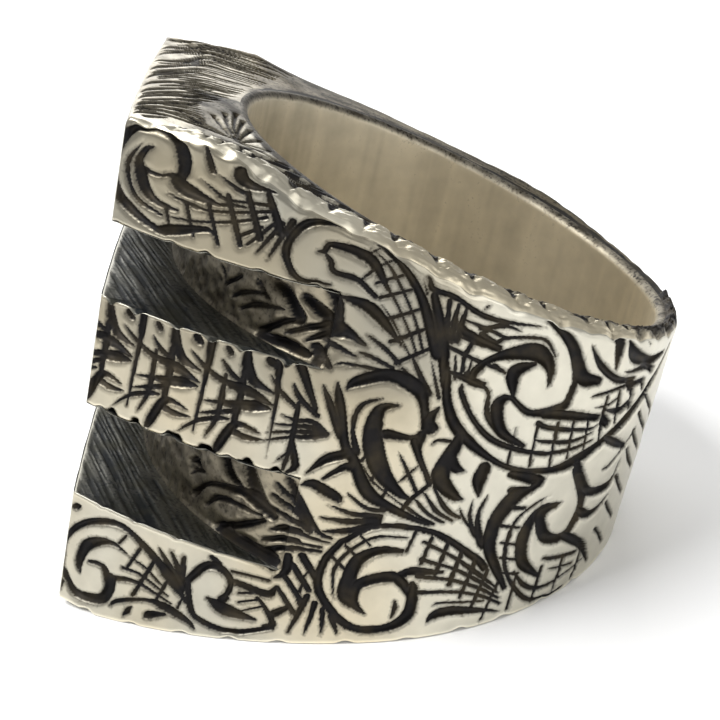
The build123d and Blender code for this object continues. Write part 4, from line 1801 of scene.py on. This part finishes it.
def silver_material(finish: Silver, patina_and_shade: bpy.types.NodeTree) -> bpy.types.Material:
    """Principled metal whose colour and roughness follow the group of tarnish and painted shade.

    Args:
        finish: its colours and roughness.
        patina_and_shade: the shared node group.

    Returns:
        The material.
    """
    material = bpy.data.materials.new(finish.name)
    material.use_nodes = True
    shader = material.node_tree.nodes["Principled BSDF"]
    nodes = Nodes(material.node_tree)
    place = nodes.add("ShaderNodeTexCoord")
    oxide_and_shade, tone, warm = (nodes.attribute(name) for name in ("oxide_and_shade", "tone", "warm"))
    inputs = {"Vector": place.outputs["Object"], "Oxide_and_shade": oxide_and_shade, "Scale": finish.scratch_scale}
    group = nodes.add("ShaderNodeGroup", inputs, node_tree=patina_and_shade)
    mask, cloud, height = (group.outputs[name] for name in ("Mask", "Cloud", "Height"))

    # The tone carries painted light and shade besides random clouds: the shaded colour at low tone, the
    # lit one at high.
    shaded = (*(finish.shaded_share * channel for channel in finish.bright), 1)
    clouded = nodes.math("MULTIPLY_ADD", cloud, finish.cloud_share, tone)
    amount = nodes.ramp(clouded, *finish.tone_span)
    metal = nodes.mix(amount, shaded, (*finish.bright, 1))
    metal = nodes.mix(warm, metal, finish.tint, blend_type="MULTIPLY")

    brown = (*(finish.brown_share * channel for channel in finish.black), 1)
    bluish = (*(share * channel for share, channel in zip(finish.blue_shares, finish.black)), 1)
    recess = nodes.mix(nodes.ramp(cloud, *finish.brown_span), bluish, brown)

    # The mask, tarnish with painted shade, turns the metal to the recess colour.
    nodes.link(nodes.mix(mask, metal, recess), shader.inputs["Base Color"])
    rough = nodes.ramp(mask, 0.0, 1.0, finish.roughness, finish.recess_roughness)
    nodes.link(rough, shader.inputs["Roughness"])
    shader.inputs["Metallic"].default_value = 1.0
    bump = {"Height": height, "Strength": finish.scratch_strength, "Distance": finish.scratch_metres}
    nodes.link(nodes.add("ShaderNodeBump", bump).outputs["Normal"], shader.inputs["Normal"])
    return material


# ASSEMBLY


@dataclass
class Ring:
    """The whole visible ring, piece by piece."""

    sizes: RingSizes
    seat: Seat

    def dress(self, name: str, sheets: list[Sheet], material: bpy.types.Material) -> bpy.types.Object:
        """Makes one piece from its sheets and hangs it on the frame.

        Args:
            name: name of the piece.
            sheets: surfaces that make it up.
            material: its finish.

        Returns:
            The new object.
        """
        points = self.seat.place(np.vstack([sheet.points.reshape(-1, 3) for sheet in sheets]))
        offsets = np.cumsum([0] + [sheet.points.shape[0] * sheet.points.shape[1] for sheet in sheets])
        faces = np.vstack([sheet.faces() + offset for sheet, offset in zip(sheets, offsets)])
        mesh = bpy.data.meshes.new(name)
        mesh.vertices.add(len(points))
        mesh.vertices.foreach_set("co", points.astype(np.float32).ravel())
        mesh.loops.add(faces.size)
        mesh.loops.foreach_set("vertex_index", faces.astype(np.int32).ravel())
        mesh.polygons.add(len(faces))
        mesh.polygons.foreach_set("loop_start", (np.arange(len(faces)) * 4).astype(np.int32))
        mesh.update(calc_edges=True)
        for key in ("oxide_and_shade", "tone", "warm"):
            values = []
            for sheet in sheets:
                values.append(np.broadcast_to(getattr(sheet, key), sheet.points.shape[:2]).ravel())
            attribute = mesh.attributes.new(key, "FLOAT", "POINT")
            attribute.data.foreach_set("value", np.concatenate(values).astype(np.float32))
        mesh.shade_smooth()
        mesh.validate()
        piece = bpy.data.objects.new(name, mesh)
        bpy.context.scene.collection.objects.link(piece)
        mesh.materials.append(material)
        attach(piece, "root")
        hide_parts("letter_ring")
        log.info("%s: %d vertices, %d triangles", name, len(points), 2 * len(faces))
        return piece

    def build(self) -> None:
        """Builds every piece in order."""
        sizes = self.sizes
        patina_and_shade = patina_and_shade_group()
        finishes = (CARVED, BLACKENED, BROWNED, SATIN)
        carved, blackened, browned, satin = (silver_material(finish, patina_and_shade) for finish in finishes)
        cheek_cuts = cheek_motif()
        fine, shank_rows, far_rows = 0.065, 0.066, 0.11
        split, carved_end = sizes.floor_s, 9.5
        cheek = np.linspace(sizes.corner_s, split, int((split - sizes.corner_s) / fine))
        shank = np.arange(split, carved_end, fine)
        shank = np.concatenate([shank, np.linspace(carved_end, sizes.back_s, 70)])
        far = np.linspace(sizes.corner_s, sizes.back_s, 300)
        walls = (
            ("near_cheek", 1, cheek, fine, cheek_cuts),
            ("near_shank", 1, shank, shank_rows, cheek_cuts),
            ("far_wall", -1, far, far_rows, far_motif()),
        )
        for name, side, columns, row_step, pattern in walls:
            self.dress(name, [Wall(sizes, side, columns, row_step, pattern).sheet()], carved)
        self.dress("letter_face", [LetterFace(sizes, 0.1).sheet()], carved)
        for name, first in (("lower_notch", 0), ("upper_notch", 2)):
            notch = Notch(sizes, *NOTCH_HEIGHTS[first : first + 2])
            self.dress(name + "_floor", [notch.floor(floor_motif(), Graver())], browned)
            sheets = [notch.stem_wall()]
            sheets.append(notch.ledge(notch.base, upward=True, bites=ARM_BITES[first]))
            sheets.append(notch.ledge(notch.top, upward=False, bites=ARM_BITES[first + 1]))
            self.dress(name, sheets, blackened)
        rims = Rims(sizes)
        self.dress("upper_rim", [rims.annulus(upper=True, rows=60)], carved)
        self.dress("lower_rim", [rims.annulus(upper=False, rows=12)], carved)
        self.dress("finger_bore", [rims.bore()], satin)


class Panel(NamedTuple):
    """One soft light: its place and size in metres, and its power in watts."""

    name: str
    place: tuple[float, float, float]
    size: tuple[float, float]
    power: float


PANELS = (
    Panel("key_light", (0.07, -0.26, 0.42), (0.30, 0.20), 2.3),
    Panel("front_light", (0.34, 0.24, 0.20), (0.30, 0.30), 0.55),
    Panel("back_light", (-0.34, -0.06, 0.18), (0.34, 0.30), 0.8),
)


@dataclass(frozen=True)
class Studio:
    """Floor, lights and camera; angles are degrees, target and distance are millimetres."""

    target: tuple[float, float, float] = (0.0, -0.375, 7.439)
    azimuth: float = 88.156
    elevation: float = 23.616
    roll: float = -1.663
    distance: float = 64.82
    focal_pixels: float = 1361.85
    image_pixels: float = 720.0
    sensor: float = 36.0
    floor_reach: float = 0.6
    sky: float = 0.43

    def camera(self) -> None:
        """Camera at the photograph's angle: its back axis from azimuth and elevation, then rolled.

        The lens is the focal length in pixels as a share of the picture, times the sensor.
        """
        az, el, turn = radians(self.azimuth), radians(self.elevation), radians(self.roll)
        back = Vector((sin(az) * cos(el), -cos(az) * cos(el), sin(el)))
        right = Vector((cos(az), sin(az), 0))
        up = back.cross(right)
        right, up = right * cos(turn) + up * sin(turn), up * cos(turn) - right * sin(turn)
        data = bpy.data.cameras.new("camera")
        data.sensor_width = self.sensor
        data.lens = self.focal_pixels / self.image_pixels * self.sensor
        data.clip_start, data.clip_end = 0.001, 10.0
        camera = bpy.data.objects.new("camera", data)
        place = (Vector(self.target) + back * self.distance) * METRES
        turned = Matrix((right, up, back)).transposed().to_4x4()
        camera.matrix_world = Matrix.Translation(place) @ turned
        bpy.context.scene.collection.objects.link(camera)
        bpy.context.scene.camera = camera

    def floor(self) -> None:
        """Plain pale floor under the ring."""
        mesh = bpy.data.meshes.new("floor")
        reach = self.floor_reach
        corners = [(-reach, -reach, 0), (reach, -reach, 0), (reach, reach, 0), (-reach, reach, 0)]
        mesh.from_pydata(corners, [], [(0, 1, 2, 3)])
        plate = bpy.data.objects.new("floor", mesh)
        bpy.context.scene.collection.objects.link(plate)
        material = bpy.data.materials.new("pale_floor")
        material.use_nodes = True
        shader = material.node_tree.nodes["Principled BSDF"]
        shader.inputs["Base Color"].default_value = (0.97, 0.97, 0.97, 1)
        shader.inputs["Roughness"].default_value = 0.6
        mesh.materials.append(material)

    @staticmethod
    def light(panel: Panel) -> None:
        """Soft light aimed at the ring.

        Args:
            panel: its name, place, size and power.
        """
        data = bpy.data.lights.new(panel.name, "AREA")
        data.shape = "RECTANGLE"
        data.size, data.size_y = panel.size
        data.energy = panel.power
        lamp = bpy.data.objects.new(panel.name, data)
        lamp.location = panel.place
        aim = Vector((0, 0, 0.01)) - Vector(panel.place)
        lamp.rotation_euler = aim.to_track_quat("-Z", "Y").to_euler()
        bpy.context.scene.collection.objects.link(lamp)

    def build(self) -> None:
        """Sets the whole studio."""
        bpy.context.scene.view_settings.view_transform = "Standard"
        world = bpy.data.worlds.new("studio")
        bpy.context.scene.world = world
        world.use_nodes = True
        background = world.node_tree.nodes["Background"]
        background.inputs["Color"].default_value = (1, 1, 1, 1)
        background.inputs["Strength"].default_value = self.sky
        self.floor()
        for panel in PANELS:
            self.light(panel)
        self.camera()


def main() -> None:
    """Builds the ring and the studio."""
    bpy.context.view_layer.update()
    Ring(RingSizes(), Seat.from_record(frame["record"])).build()
    Studio().build()


if __name__ == "__main__":
    main()
